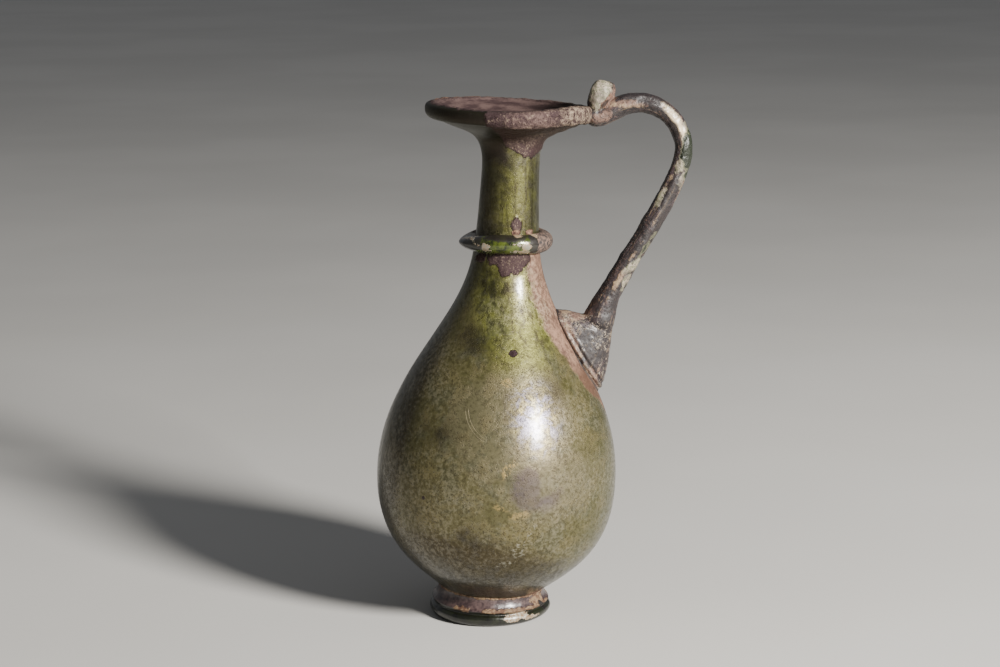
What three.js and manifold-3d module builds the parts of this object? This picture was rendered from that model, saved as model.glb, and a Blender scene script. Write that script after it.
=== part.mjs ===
// Ancient glass jug: a blown vessel with an applied neck ring, foot ring and rod handle.
// Millimetres, +Z up. The jug stands on z = 0 and its handle is on the +X side.
// Profiles are (radius, height) pairs, with heights measured along the vessel's own axis.
import * as THREE from 'three';
import { mergeVertices } from 'three/addons/utils/BufferGeometryUtils.js';
import Module from 'manifold-3d';

// Vessel, from the base up
const lean = THREE.MathUtils.degToRad(3.1);
const baseHeight = 6;
const baseRadius = 15.5;
const baseKick = 4.5;
const bellyRise = 50;
const bellyRadius = 46.8;
const shoulderRise = 86;
const neckFootRadius = 13.2;
const neckLength = 35;
const throatRadius = 11.15;
const funnelDepth = 23;
const mouthRadius = 31.7;
const mouthShift = -2;
const lipRadius = 3;
const lipSquareness = 3.2;
const rimLift = 1.9;
const rimLiftSide = THREE.MathUtils.degToRad(-35);
const rimLiftWidth = THREE.MathUtils.degToRad(31);
const baseWall = 3.6;
const bellyWall = 2.2;
const neckWall = 2.6;
const rimWall = 4.9;

// Trail of glass wound round the foot of the neck
const trailRise = 6.6;
const trailHeight = 7.8;
const trailReach = 4.1;
const trailSwell = 0.35;
const trailSink = 1.3;
const trailFlatness = 0.12;
const trailTurn = 0.6;
const seamReach = 1.3;
const seamDrop = 1.7;
const seamPinch = 0.32;
const seamWidth = THREE.MathUtils.degToRad(52);

// Foot ring
const footContactInner = 17.5;
const footContactOuter = 21;
const footBeadRadius = 23.8;
const footBeadHeight = 4.6;
const footRidgeRadius = 23;
const footRidgeHeight = 6.3;
const footGrip = 5.6;
const footTuck = 0.5;
const footBeadSwell = 0.9;
const footBeadLow = 0.1;
const footBeadHigh = 0.9;
const footBeadShoulder = 0.7;
const footRidgeUnder = 0.75;
const footGroove = 0.7;
const footBandHollow = 1.2;
const footBandDrop = 1;
const footBandRise = 3.4;
const footBaseOverlap = 2.5;
const footBaseGrip = 1;
const footHollow = 1.2;

// Handle, in the plane through the vessel's axis
const rootDrop = 20;
const rootSunk = 6;
const rootEdge = 0.4;
const rootLength = 31.5;
const rootHalfWidth = 9.6;
const rootProud = 22.4;
const ledgeSlope = 0.14;
const rodLeanOut = THREE.MathUtils.degToRad(71);
const rodStartRise = 2;
const rodSunk = 10.5;
const handleReach = 65.4;
const archWidth = 17.4;
const archDrop = 17.6;
const archRise = 3.1;
const rodThickness = 8.6;
const rootFlare = 5;
const rootFlareLength = 19;
const rodThicknessRiser = 7.7;
const rodThicknessBend = 6.9;
const rodThicknessTop = 7.9;
const rodDepth = 8.4;
const rodDepthBend = 7.4;
const dipRun = 4.2;
const dipRise = 1;
const foldReach = 3.3;
const foldUnder = 3;
const foldUnderDrop = 1.4;
const foldUnderRise = 4;
const foldDrop = 2.5;
const foldHeight = 14.1;
const foldLean = THREE.MathUtils.degToRad(75);
const foldStrand = 7.2;
const foldNeck = 6;
const foldDepth = 7.4;
const foldBackStrand = 5.1;
const foldBackDepth = 6;
const foldSide = 1.48;

// Gap left between neighbouring pieces of glass
const seamGap = 0.3;

// Fullness of the vessel's curves, as shares of each curve's own rise or width
const baseSpread = 0.36;
const baseLift = 0.26;
const bellyBelow = 0.66;
const bellyAbove = 0.43;
const shoulderFall = 0.34;
const neckTaper = 0.17;
const neckStart = 0.2;
const throatRun = 0.3;
const flareRise = 0.62;
const flareSpread = 0.28;
const flareFall = 0.26;
const riserStart = 0.26;
const riserEnd = 0.22;
const bendFullness = 0.42;
const archFullness = 0.66;
const archFall = 0.5;
const rootFullAt = 0.6;
const rootStart = 0.04;
const rootRounding = 0.75;
const rootFilling = 0.85;
const rootNarrowing = 0.3;
const rootShoulder = 0.82;
const rootCrown = 0.2;
const rootWeight = 0.2;
const lipStart = -0.6 * Math.PI;
const lipTop = 0.5 * Math.PI;
const lipEnd = 0.72 * Math.PI;

// The thumb-rest's strands, as shares: up along the fold, across it, and to its side
const foldFront = [
  [0.04, 0.21, 0],
  [0.13, -0.22, 0],
  [0.37, -0.41, -1],
  [0.65, -0.40, -1],
  [0.95, -0.33, -0.33],
];
const foldBack = [
  [0.95, -0.14, 0.3],
  [0.73, 0.02, 1],
  [0.5, 0.11, 1],
  [0.27, 0.27, 0.5],
];

// Facets
const roundSegments = 42;
const rodSides = 12;
const rodSteps = 40;
const endBluntness = 0.94;
const sameSpot = 0.05;
const lipClearance = 0.4;

// Heights that follow from the sizes above
const bellyHeight = baseHeight + bellyRise;
const neckFootHeight = bellyHeight + shoulderRise;
const throatHeight = neckFootHeight + neckLength;
const rimHeight = throatHeight + funnelDepth;
const trailMiddle = neckFootHeight + trailRise;
const archHeight = rimHeight + archRise;
const handleBendHeight = archHeight - archDrop;
const archReach = handleReach - archWidth;
const rootTopHeight = neckFootHeight - rootDrop;
const footTopHeight = baseHeight + footGrip;
const fullTurn = 2 * Math.PI;

const point = (x, y) => new THREE.Vector2(x, y);
const inPlane = (x, z, y = 0) => new THREE.Vector3(x, y, z);

// The outside of the blown wall as four curves, each with its wall at both ends.
function outerCurves() {
  const base = point(baseRadius, baseHeight);
  const belly = point(bellyRadius, bellyHeight);
  const neckFoot = point(neckFootRadius, neckFootHeight);
  const throat = point(throatRadius, throatHeight);
  const lipUnder = lipPoint(lipStart);
  const bellyWidth = bellyRadius - baseRadius;
  const shoulderRun = shoulderFall * shoulderRise;
  const neckRun = neckStart * neckLength;
  const flareWidth = lipUnder.x - throatRadius;
  return [
    {
      curve: new THREE.CubicBezierCurve(
        base,
        point(baseRadius + baseSpread * bellyWidth, baseHeight + baseLift * bellyRise),
        point(bellyRadius, bellyHeight - bellyBelow * bellyRise),
        belly),
      steps: 8,
      walls: [baseWall, bellyWall],
    },
    {
      curve: new THREE.CubicBezierCurve(
        belly,
        point(bellyRadius, bellyHeight + bellyAbove * shoulderRise),
        point(neckFootRadius + neckTaper * shoulderRun, neckFootHeight - shoulderRun),
        neckFoot),
      steps: 9,
      walls: [bellyWall, neckWall],
    },
    {
      curve: new THREE.CubicBezierCurve(
        neckFoot,
        point(neckFootRadius - neckTaper * neckRun, neckFootHeight + neckRun),
        point(throatRadius, throatHeight - throatRun * neckLength),
        throat),
      steps: 3,
      walls: [neckWall, neckWall],
    },
    {
      curve: new THREE.CubicBezierCurve(
        throat,
        point(throatRadius, throatHeight + flareRise * funnelDepth),
        point(throatRadius + flareSpread * flareWidth, lipUnder.y - flareFall * funnelDepth),
        lipUnder),
      steps: 6,
      walls: [neckWall, rimWall],
    },
  ];
}

// A point on the folded lip, at an angle up from straight outwards. Its upper outer corner is squarer.
function lipPoint(angle) {
  const centre = lipCentre();
  const upperOuter = Math.cos(angle) > 0 && Math.sin(angle) > 0;
  const power = upperOuter ? 2 / lipSquareness : 1;
  const outwards = Math.sign(Math.cos(angle)) * Math.pow(Math.abs(Math.cos(angle)), power);
  const upwards = Math.sign(Math.sin(angle)) * Math.pow(Math.abs(Math.sin(angle)), power);
  return point(centre.x + lipRadius * outwards, centre.y + lipRadius * upwards);
}

function lipCentre() {
  return point(mouthRadius - lipRadius, rimHeight - lipRadius);
}

function lipArc(from, to, steps) {
  const arc = [];
  for (let i = 0; i <= steps; i++) {
    arc.push(lipPoint(THREE.MathUtils.lerp(from, to, i / steps)));
  }
  return arc;
}

// Points along a curve, moved off its outward side by a distance that runs between two values.
function offsetPoints(curve, steps, startOffset, endOffset) {
  const moved = [];
  for (let i = 0; i <= steps; i++) {
    const t = i / steps;
    const tangent = curve.getTangent(t);
    const offset = THREE.MathUtils.lerp(startOffset, endOffset, t);
    const place = curve.getPoint(t);
    moved.push(point(place.x + tangent.y * offset, place.y - tangent.x * offset));
  }
  return moved;
}

function joined(stretches) {
  const whole = [];
  for (const stretch of stretches) {
    for (const next of stretch) {
      const last = whole[whole.length - 1];
      if (!last || last.distanceTo(next) > sameSpot) {
        whole.push(next);
      }
    }
  }
  return whole;
}

// The whole outside from the base's edge to the rim, moved outwards by a gap.
function outsideProfile(gap) {
  const wall = outerCurves().map(({ curve, steps }) => offsetPoints(curve, steps, gap, gap));
  const lip = lipArc(lipStart, lipTop, 6);
  const centre = lipCentre();
  const grown = lip.map((p) => p.clone().sub(centre).multiplyScalar(1 + gap / lipRadius).add(centre));
  return joined([...wall, grown]);
}

// The inside from the lip down to the floor.
function insideProfile() {
  const centre = lipCentre();
  const wall = outerCurves().map(({ curve, steps, walls }) =>
    offsetPoints(curve, Math.ceil(steps / 2), -walls[0], -walls[1]));
  const clearOfLip = joined(wall).filter((p) => p.distanceTo(centre) > lipRadius + lipClearance);
  return joined([lipArc(lipTop, lipEnd, 3), clearOfLip.reverse()]);
}

// A shallow dome from a point on the wall to the axis, as the underside is pushed up.
function dome(edge, apexHeight, steps) {
  const arc = [];
  for (let i = 0; i <= steps; i++) {
    const t = i / steps;
    const height = THREE.MathUtils.lerp(edge.y, apexHeight, Math.sin(t * Math.PI / 2));
    arc.push(point(edge.x * (1 - t), height));
  }
  return arc;
}

// Revolves a profile and stands its axis up.
function revolve(profile) {
  const geometry = new THREE.LatheGeometry(profile, roundSegments);
  geometry.rotateX(Math.PI / 2);
  return geometry;
}

// The funnel was drawn off the axis, and its rim was pulled up on one side of the handle.
function shapeMouth(geometry) {
  const places = geometry.attributes.position;
  for (let i = 0; i < places.count; i++) {
    const share = THREE.MathUtils.smoothstep(places.getZ(i), throatHeight, rimHeight);
    const away = (Math.atan2(places.getY(i), places.getX(i)) - rimLiftSide) / rimLiftWidth;
    places.setX(i, places.getX(i) + mouthShift * share);
    places.setZ(i, places.getZ(i) + rimLift * share * share * Math.exp(-away * away));
  }
  return geometry;
}

function vesselGeometry() {
  const outside = outsideProfile(0);
  const inside = insideProfile();
  const underside = dome(outside[0], baseHeight + baseKick, 4).reverse();
  const floor = dome(inside[inside.length - 1], baseHeight + baseKick + baseWall, 4);
  return shapeMouth(revolve(joined([underside, outside, inside, floor])));
}

// The vessel's outside with the seam gap, filled in, for cutting what is applied to it.
function vesselPlug() {
  const outside = outsideProfile(seamGap);
  const rimTop = point(0, outside[outside.length - 1].y);
  return shapeMouth(revolve([point(0, baseHeight - seamGap), ...outside, rimTop]));
}

// Joins closed loops of points into a skin, either closed on itself or with both ends filled.
function skin(loops, closesOnItself) {
  const count = loops[0].length;
  const positions = [];
  const indices = [];
  for (const loop of loops) {
    for (const p of loop) {
      positions.push(p.x, p.y, p.z);
    }
  }
  const spans = closesOnItself ? loops.length : loops.length - 1;
  for (let i = 0; i < spans; i++) {
    const here = i * count;
    const next = ((i + 1) % loops.length) * count;
    for (let j = 0; j < count; j++) {
      const k = (j + 1) % count;
      indices.push(here + j, next + j, here + k);
      indices.push(here + k, next + j, next + k);
    }
  }
  if (!closesOnItself) {
    const last = (loops.length - 1) * count;
    for (let j = 1; j < count - 1; j++) {
      indices.push(0, j, j + 1);
      indices.push(last, last + j + 1, last + j);
    }
  }
  const geometry = new THREE.BufferGeometry();
  geometry.setAttribute('position', new THREE.Float32BufferAttribute(positions, 3));
  geometry.setIndex(indices);
  return geometry;
}

// How near an angle is to the seam in the trail, from 0 to 1.
function atSeam(angle) {
  const away = Math.abs(angle - Math.PI) / seamWidth;
  return Math.exp(-away * away);
}

// The wound trail: a full round section that ends in a drawn-out point away from the handle.
function neckRingGeometry() {
  const sides = 10;
  const innerRadius = throatRadius - trailSink;
  const loops = [];
  for (let i = 0; i < roundSegments; i++) {
    const angle = i / roundSegments * fullTurn;
    const seam = atSeam(angle);
    const swell = trailSwell * Math.sin(2 * angle + trailTurn);
    const outerRadius = neckFootRadius + trailReach + swell + seamReach * seam;
    const halfHeight = trailHeight / 2 * (1 - seamPinch * seam);
    const middle = trailMiddle - seamDrop * seam;
    const centreRadius = (innerRadius + outerRadius) / 2;
    const halfReach = (outerRadius - innerRadius) / 2;
    const loop = [];
    for (let j = 0; j < sides; j++) {
      const turn = j / sides * fullTurn;
      const radius = centreRadius + halfReach * Math.cos(turn);
      const height = middle + halfHeight * Math.sin(turn) * (1 - trailFlatness * Math.cos(turn));
      loop.push(new THREE.Vector3(radius * Math.cos(angle), radius * Math.sin(angle), height));
    }
    loops.push(loop);
  }
  return skin(loops, true);
}

// The foot ring's section: a bead on the table, a ridge, and a hollow band up to the body.
function footProfile() {
  const footTopRadius = wallRadiusAt(footTopHeight) - footTuck;
  const bead = new THREE.CubicBezierCurve(
    point(footContactOuter, 0),
    point(footBeadRadius + footBeadSwell, footBeadLow * footBeadHeight),
    point(footBeadRadius + footBeadShoulder * footBeadSwell, footBeadHigh * footBeadHeight),
    point(footRidgeRadius - footGroove, footBeadHeight));
  const band = new THREE.CubicBezierCurve(
    point(footRidgeRadius, footRidgeHeight),
    point(footRidgeRadius - footBandHollow, footRidgeHeight + footBandDrop),
    point(footTopRadius, footTopHeight - footBandRise),
    point(footTopRadius, footTopHeight));
  const ridgeUnder = point(
    footRidgeRadius, THREE.MathUtils.lerp(footBeadHeight, footRidgeHeight, footRidgeUnder));
  const insideBody = point(baseRadius, footTopHeight);
  const underBase = point(baseRadius - footBaseOverlap, baseHeight + footBaseGrip);
  const hollow = point(footContactInner - footHollow, baseHeight / 2);
  const contact = point(footContactInner, 0);
  return joined([[contact], bead.getPoints(5), [ridgeUnder], band.getPoints(4), [insideBody, underBase, hollow]])
    .concat(contact.clone());
}

// The foot stands flat on the table, and its upper edge follows the leaning body.
function footRingGeometry() {
  const geometry = revolve(footProfile());
  const places = geometry.attributes.position;
  const upright = new THREE.Vector3(0, 1, 0);
  const p = new THREE.Vector3();
  for (let i = 0; i < places.count; i++) {
    p.fromBufferAttribute(places, i);
    p.applyAxisAngle(upright, lean * THREE.MathUtils.smoothstep(p.z, 0, footTopHeight));
    places.setXYZ(i, p.x, p.y, p.z);
  }
  return geometry;
}

// A value read off an even row of values, with a smooth run from each to the next.
function along(values, share) {
  const place = THREE.MathUtils.clamp(share, 0, 1) * (values.length - 1);
  const index = Math.min(Math.floor(place), values.length - 2);
  const run = THREE.MathUtils.smoothstep(place - index, 0, 1);
  return THREE.MathUtils.lerp(values[index], values[index + 1], run);
}

// A drawn rod of glass with round ends. Thickness lies in the handle's plane, depth across it,
// and the rod may flare at its start.
function strand(curve, steps, thicknesses, depths, flare = 0, flareLength = 1) {
  const length = curve.getLength();
  const across = new THREE.Vector3(0, 1, 0);
  const loops = [];
  for (let i = 0; i <= steps; i++) {
    const share = i / steps;
    const centre = curve.getPointAt(share);
    const normal = new THREE.Vector3().crossVectors(curve.getTangentAt(share), across).normalize();
    const endGap = Math.min(share, 1 - share) * length;
    const widening = flare * (1 - THREE.MathUtils.smoothstep(share * length, 0, flareLength));
    const halfThickness = (along(thicknesses, share) + widening) / 2;
    const bluntness = THREE.MathUtils.clamp(1 - endGap / halfThickness, 0, endBluntness);
    const roundness = Math.sqrt(1 - bluntness * bluntness);
    const halfDepth = (along(depths, share) + widening) / 2;
    const loop = [];
    for (let j = 0; j < rodSides; j++) {
      const turn = j / rodSides * fullTurn;
      loop.push(centre.clone()
        .addScaledVector(normal, roundness * halfThickness * Math.cos(turn))
        .addScaledVector(across, roundness * halfDepth * Math.sin(turn)));
    }
    loops.push(loop);
  }
  return skin(loops, false);
}

// The rod's centre line: out of the root, up to the widest bend, over and down onto the rim.
function rodCurve() {
  const rootOutside = wallRadiusAt(rootTopHeight) + rootProud;
  const start = inPlane(rootOutside - rodThickness / 2, rootTopHeight + rodStartRise);
  const direction = inPlane(Math.cos(rodLeanOut), Math.sin(rodLeanOut));
  const bend = inPlane(handleReach, handleBendHeight);
  const top = inPlane(archReach, archHeight);
  const onRim = foldStart();
  const riserRise = handleBendHeight - start.z;
  const path = new THREE.CurvePath();
  path.add(new THREE.LineCurve3(start.clone().addScaledVector(direction, -rodSunk), start));
  path.add(new THREE.CubicBezierCurve3(
    start,
    start.clone().addScaledVector(direction, riserStart * riserRise),
    inPlane(handleReach, handleBendHeight - riserEnd * riserRise),
    bend));
  path.add(new THREE.CubicBezierCurve3(
    bend,
    inPlane(handleReach, handleBendHeight + bendFullness * archDrop),
    inPlane(archReach + archFullness * archWidth, archHeight),
    top));
  path.add(new THREE.CubicBezierCurve3(
    top,
    inPlane(archReach - archFall * (archReach - onRim.x), archHeight),
    inPlane(onRim.x + dipRun, onRim.z + dipRise),
    onRim));
  path.add(new THREE.QuadraticBezierCurve3(
    onRim,
    inPlane(onRim.x - foldUnder, onRim.z - foldUnderDrop),
    inPlane(onRim.x - foldUnder, onRim.z + foldUnderRise)));
  return path;
}

// Where the rod dips onto the rim's edge and turns back up.
function foldStart() {
  return inPlane(mouthRadius + mouthShift + foldReach, rimHeight - foldDrop);
}

// The thumb-rest is one loop: a strand up from the rim, and the same strand back down behind it.
function foldCurves() {
  const start = foldStart();
  const up = inPlane(Math.cos(foldLean), Math.sin(foldLean));
  const over = inPlane(Math.sin(foldLean), -Math.cos(foldLean));
  const place = ([rise, step, sideways]) => start.clone()
    .addScaledVector(up, rise * foldHeight)
    .addScaledVector(over, step * foldStrand)
    .add(inPlane(0, 0, sideways * foldSide));
  const front = new THREE.CatmullRomCurve3(foldFront.map(place));
  const back = new THREE.CatmullRomCurve3(foldBack.map(place));
  return { front, back };
}

// The root: a drop of hot glass pressed on the shoulder, narrow below, with a ledge above.
function rootGeometry() {
  const steps = 9;
  const sides = 18;
  const loops = [];
  for (let i = 0; i <= steps; i++) {
    const share = i / steps;
    const height = rootTopHeight - rootLength * (1 - share);
    const surface = wallRadiusAt(height);
    const filled = Math.min((rootStart + share) / rootFullAt, 1);
    const fullness = Math.pow(Math.sin(Math.PI / 2 * filled), rootRounding);
    const overShoulder = Math.max(share - rootShoulder, 0) / rootCrown;
    const topRound = Math.sqrt(Math.max(1 - overShoulder * overShoulder, rootStart));
    const halfWidth = rootHalfWidth * fullness * (1 - rootNarrowing * share * share) * topRound;
    const proud = rootProud * Math.pow(share, rootFilling);
    const outer = surface + Math.max(proud, rootEdge);
    const inner = surface - rootSunk * topRound;
    const centre = (outer + inner) / 2 - rootWeight * (outer - inner);
    const loop = [];
    for (let j = 0; j < sides; j++) {
      const turn = j / sides * fullTurn;
      const forward = Math.cos(turn);
      const halfLength = forward > 0 ? outer - centre : centre - inner;
      const x = centre + halfLength * forward;
      const rise = (surface - x) * -ledgeSlope * -share;
      loop.push(new THREE.Vector3(x, -halfWidth * Math.sin(turn), height + rise));
    }
    loops.push(loop);
  }
  return skin(loops, false);
}

// The outside radius of the blown wall at a height.
function wallRadiusAt(height) {
  const profile = outsideProfile(0);
  for (let i = 1; i < profile.length; i++) {
    if (profile[i].y >= height) {
      const share = (height - profile[i - 1].y) / (profile[i].y - profile[i - 1].y);
      return THREE.MathUtils.lerp(profile[i - 1].x, profile[i].x, share);
    }
  }
  return mouthRadius;
}

const wasm = await Module();
wasm.setup();

function solidOf(geometry) {
  const bare = geometry.clone();
  bare.deleteAttribute('normal');
  bare.deleteAttribute('uv');
  const merged = mergeVertices(bare, 1e-4);
  const vertProperties = new Float32Array(merged.attributes.position.array);
  const triVerts = new Uint32Array(merged.index.array);
  return new wasm.Manifold(new wasm.Mesh({ numProp: 3, vertProperties, triVerts }));
}

function geometryOf(solid) {
  const { vertProperties, triVerts } = solid.getMesh();
  const geometry = new THREE.BufferGeometry();
  geometry.setAttribute('position', new THREE.BufferAttribute(new Float32Array(vertProperties), 3));
  geometry.setIndex(new THREE.BufferAttribute(new Uint32Array(triVerts), 1));
  geometry.computeVertexNormals();
  return geometry;
}

function handleSolid() {
  const rod = strand(
    rodCurve(), rodSteps,
    [rodThickness, rodThickness, rodThicknessRiser, rodThicknessRiser,
      rodThicknessBend, rodThicknessBend, rodThicknessTop, rodThicknessTop],
    [rodDepth, rodDepth, rodDepth, rodDepthBend, rodDepthBend, rodDepthBend, rodDepth],
    rootFlare, rootFlareLength);
  const { front, back } = foldCurves();
  const frontStrand = strand(front, 11, [foldNeck, foldStrand, foldStrand], [foldDepth, foldDepth]);
  const backStrand = strand(back, 8, [foldBackStrand, foldBackStrand], [foldBackDepth, foldBackDepth]);
  return solidOf(rod)
    .add(solidOf(rootGeometry()))
    .add(solidOf(frontStrand))
    .add(solidOf(backStrand));
}

const glassColours = {
  vessel: { color: 0x85864a, roughness: 0.42, metalness: 0 },
  neckRing: { color: 0x5f7a45, roughness: 0.38, metalness: 0 },
  footRing: { color: 0x5b4a49, roughness: 0.4, metalness: 0 },
  handle: { color: 0x9a8d88, roughness: 0.62, metalness: 0 },
};

function piece(name, geometry, look) {
  const mesh = new THREE.Mesh(geometry, new THREE.MeshStandardMaterial(look));
  mesh.name = name;
  return mesh;
}

const plug = solidOf(vesselPlug());
const leaningPlug = solidOf(vesselPlug().rotateY(lean));

const leaning = new THREE.Group();
leaning.rotation.y = lean;
leaning.add(
  piece('vessel', vesselGeometry(), glassColours.vessel),
  piece('neck_ring', geometryOf(solidOf(neckRingGeometry()).subtract(plug)), glassColours.neckRing),
  piece('handle', geometryOf(handleSolid().subtract(plug)), glassColours.handle));

const jug = new THREE.Group();
jug.add(
  leaning,
  piece('foot_ring', geometryOf(solidOf(footRingGeometry()).subtract(leaningPlug)), glassColours.footRing));

// The origin is below the middle of the whole jug, on the table.
const middle = new THREE.Box3().setFromObject(jug, true).getCenter(new THREE.Vector3());
jug.position.set(-middle.x, -middle.y, 0);

export default jug;
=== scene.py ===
"""Ancient blown glass jug, modelled and finished over its frame of plain solids.

Sizes are millimetres along the vessel's own axis. Meshes are metres in the frame of the part, +Z up,
with the handle towards +X.
"""

from __future__ import annotations

import logging
import math
from dataclasses import dataclass, field
from enum import Enum
from typing import Any, Sequence, Union

import bmesh
import bpy
import numpy as np
from mathutils import Matrix, Vector, noise

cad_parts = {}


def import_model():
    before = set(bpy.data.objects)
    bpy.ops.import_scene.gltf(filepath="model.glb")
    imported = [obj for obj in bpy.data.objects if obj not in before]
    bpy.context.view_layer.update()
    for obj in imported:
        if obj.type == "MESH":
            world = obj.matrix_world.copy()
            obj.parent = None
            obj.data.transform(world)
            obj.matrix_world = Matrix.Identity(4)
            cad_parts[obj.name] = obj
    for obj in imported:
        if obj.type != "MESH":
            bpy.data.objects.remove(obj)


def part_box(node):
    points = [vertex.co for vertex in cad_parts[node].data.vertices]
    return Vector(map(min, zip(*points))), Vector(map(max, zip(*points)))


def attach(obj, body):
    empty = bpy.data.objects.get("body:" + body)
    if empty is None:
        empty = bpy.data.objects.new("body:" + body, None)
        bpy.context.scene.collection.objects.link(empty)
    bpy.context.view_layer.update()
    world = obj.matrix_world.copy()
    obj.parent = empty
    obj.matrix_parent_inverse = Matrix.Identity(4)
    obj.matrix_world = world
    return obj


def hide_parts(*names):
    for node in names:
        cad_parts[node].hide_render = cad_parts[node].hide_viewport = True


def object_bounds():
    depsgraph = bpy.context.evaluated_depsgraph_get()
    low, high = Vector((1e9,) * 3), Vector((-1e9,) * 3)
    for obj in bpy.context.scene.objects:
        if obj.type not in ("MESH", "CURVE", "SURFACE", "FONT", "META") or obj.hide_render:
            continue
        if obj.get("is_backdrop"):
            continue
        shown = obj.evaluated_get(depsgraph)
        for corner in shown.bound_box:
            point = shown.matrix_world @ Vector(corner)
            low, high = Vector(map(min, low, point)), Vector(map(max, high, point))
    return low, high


LOG = logging.getLogger("glass_jug")
MM = 0.001
FULL_TURN = 2 * math.pi
BODY = "root"
IMAGE_WIDTH = 1000
SENSOR_WIDTH = 36
LAYER_LIMIT = 6
OUTSIDE = -LAYER_LIMIT
WELD = 0.002
CHUNK = 20000


class Node(Enum):
    """Solids of the frame that the finished pieces stand for."""

    VESSEL = "vessel"
    NECK_RING = "neck_ring"
    FOOT_RING = "foot_ring"
    HANDLE = "handle"


class Slot(Enum):
    """Material slots of the record."""

    BODY = "body_glass"
    TRAIL = "trail_glass"
    FOOT = "foot_glass"
    HANDLE = "handle_glass"


class Layer(Enum):
    """Layers kept on the meshes. Most say how deep inside a patch a point lies, in millimetres."""

    INSIDE = "inside"
    STAIN = "stain"
    CRUST = "crust"
    EARTH = "earth"
    GREEN = "green"
    BROWN = "brown"
    PATCH = "patch"
    BLOOM = "bloom"
    DARK = "dark"
    PALE = "pale"
    BARE = "bare"
    SILVER = "silver"
    HAZE = "haze"
    RIM = "rim"
    ROUND = "round"
    WALL = "wall"
    CREVICE = "crevice"
    ROD = "rod"


def smooth_step(value: np.ndarray, low: float, high: float) -> np.ndarray:
    """Runs smoothly from 0 at low to 1 at high."""
    share = np.clip((value - low) / (high - low), 0, 1)
    return share * share * (3 - 2 * share)


def bezier(start: Sequence[float], first: Sequence[float], second: Sequence[float], end: Sequence[float],
           count: int) -> np.ndarray:
    """Samples a cubic curve.

    Args:
        start, first, second, end: The curve's two ends and, between them, its two handles.
        count: Number of samples.

    Returns:
        An array of count points.
    """
    t = np.linspace(0, 1, count)[:, None]
    a, b, c, d = (np.asarray(p, float) for p in (start, first, second, end))
    return a * (1 - t) ** 3 + 3 * b * t * (1 - t) ** 2 + 3 * c * t * t * (1 - t) + d * t ** 3


def even(line: np.ndarray, count: int) -> np.ndarray:
    """Samples a line again, evenly by its length."""
    reach = reach_of(line)
    places = np.linspace(0, reach[-1], count)
    return np.stack([np.interp(places, reach, line[:, k]) for k in range(line.shape[1])], axis=1)


def chain(*lines: np.ndarray) -> np.ndarray:
    """Joins lines end to end and drops points that lie on each other."""
    whole = np.concatenate(lines)
    step = np.linalg.norm(np.diff(whole, axis=0), axis=1)
    return whole[np.concatenate([[True], step > 0.02])]


def wrapped(degrees: np.ndarray) -> np.ndarray:
    """Brings angles into the half turn on either side of zero."""
    return (degrees + 180) % 360 - 180


def arc(degrees: np.ndarray, radius: float) -> np.ndarray:
    """Turns angles into millimetres along an arc."""
    return degrees * math.pi / 180 * radius


def between(sides: np.ndarray, first: float, last: float, radius: float) -> np.ndarray:
    """Gives how deep points lie between two sides, in millimetres along an arc."""
    return arc(np.minimum(wrapped(sides - first), wrapped(last - sides)), radius)


def sides_of(points: np.ndarray) -> np.ndarray:
    """Gives the side that each point lies on, in degrees from the handle."""
    return np.degrees(np.arctan2(points[:, 1], points[:, 0]))


def reach_of(line: np.ndarray) -> np.ndarray:
    """Gives how far along a line each of its points lies."""
    return np.concatenate([[0], np.cumsum(np.linalg.norm(np.diff(line, axis=0), axis=1))])


def slope_of(line: np.ndarray) -> np.ndarray:
    """Gives the direction of a line at each of its points."""
    slope = np.gradient(line, axis=0)
    return slope / np.linalg.norm(slope, axis=1)[:, None]


def cloud(points: np.ndarray, size: float, seed: int, octaves: int = 3) -> np.ndarray:
    """Gives a soft random value at each point.

    Args:
        points: Places in millimetres.
        size: Size of the largest lumps in millimetres.
        seed: Chooses the pattern.
        octaves: Number of finer patterns that are added.

    Returns:
        Values about zero, mostly within one.
    """
    shift = Vector((seed * 17.3, seed * 5.9, seed * 11.1))
    return np.array([noise.fractal(Vector(p) + shift, 1.0, 2.0, octaves) for p in points / size])


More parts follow.
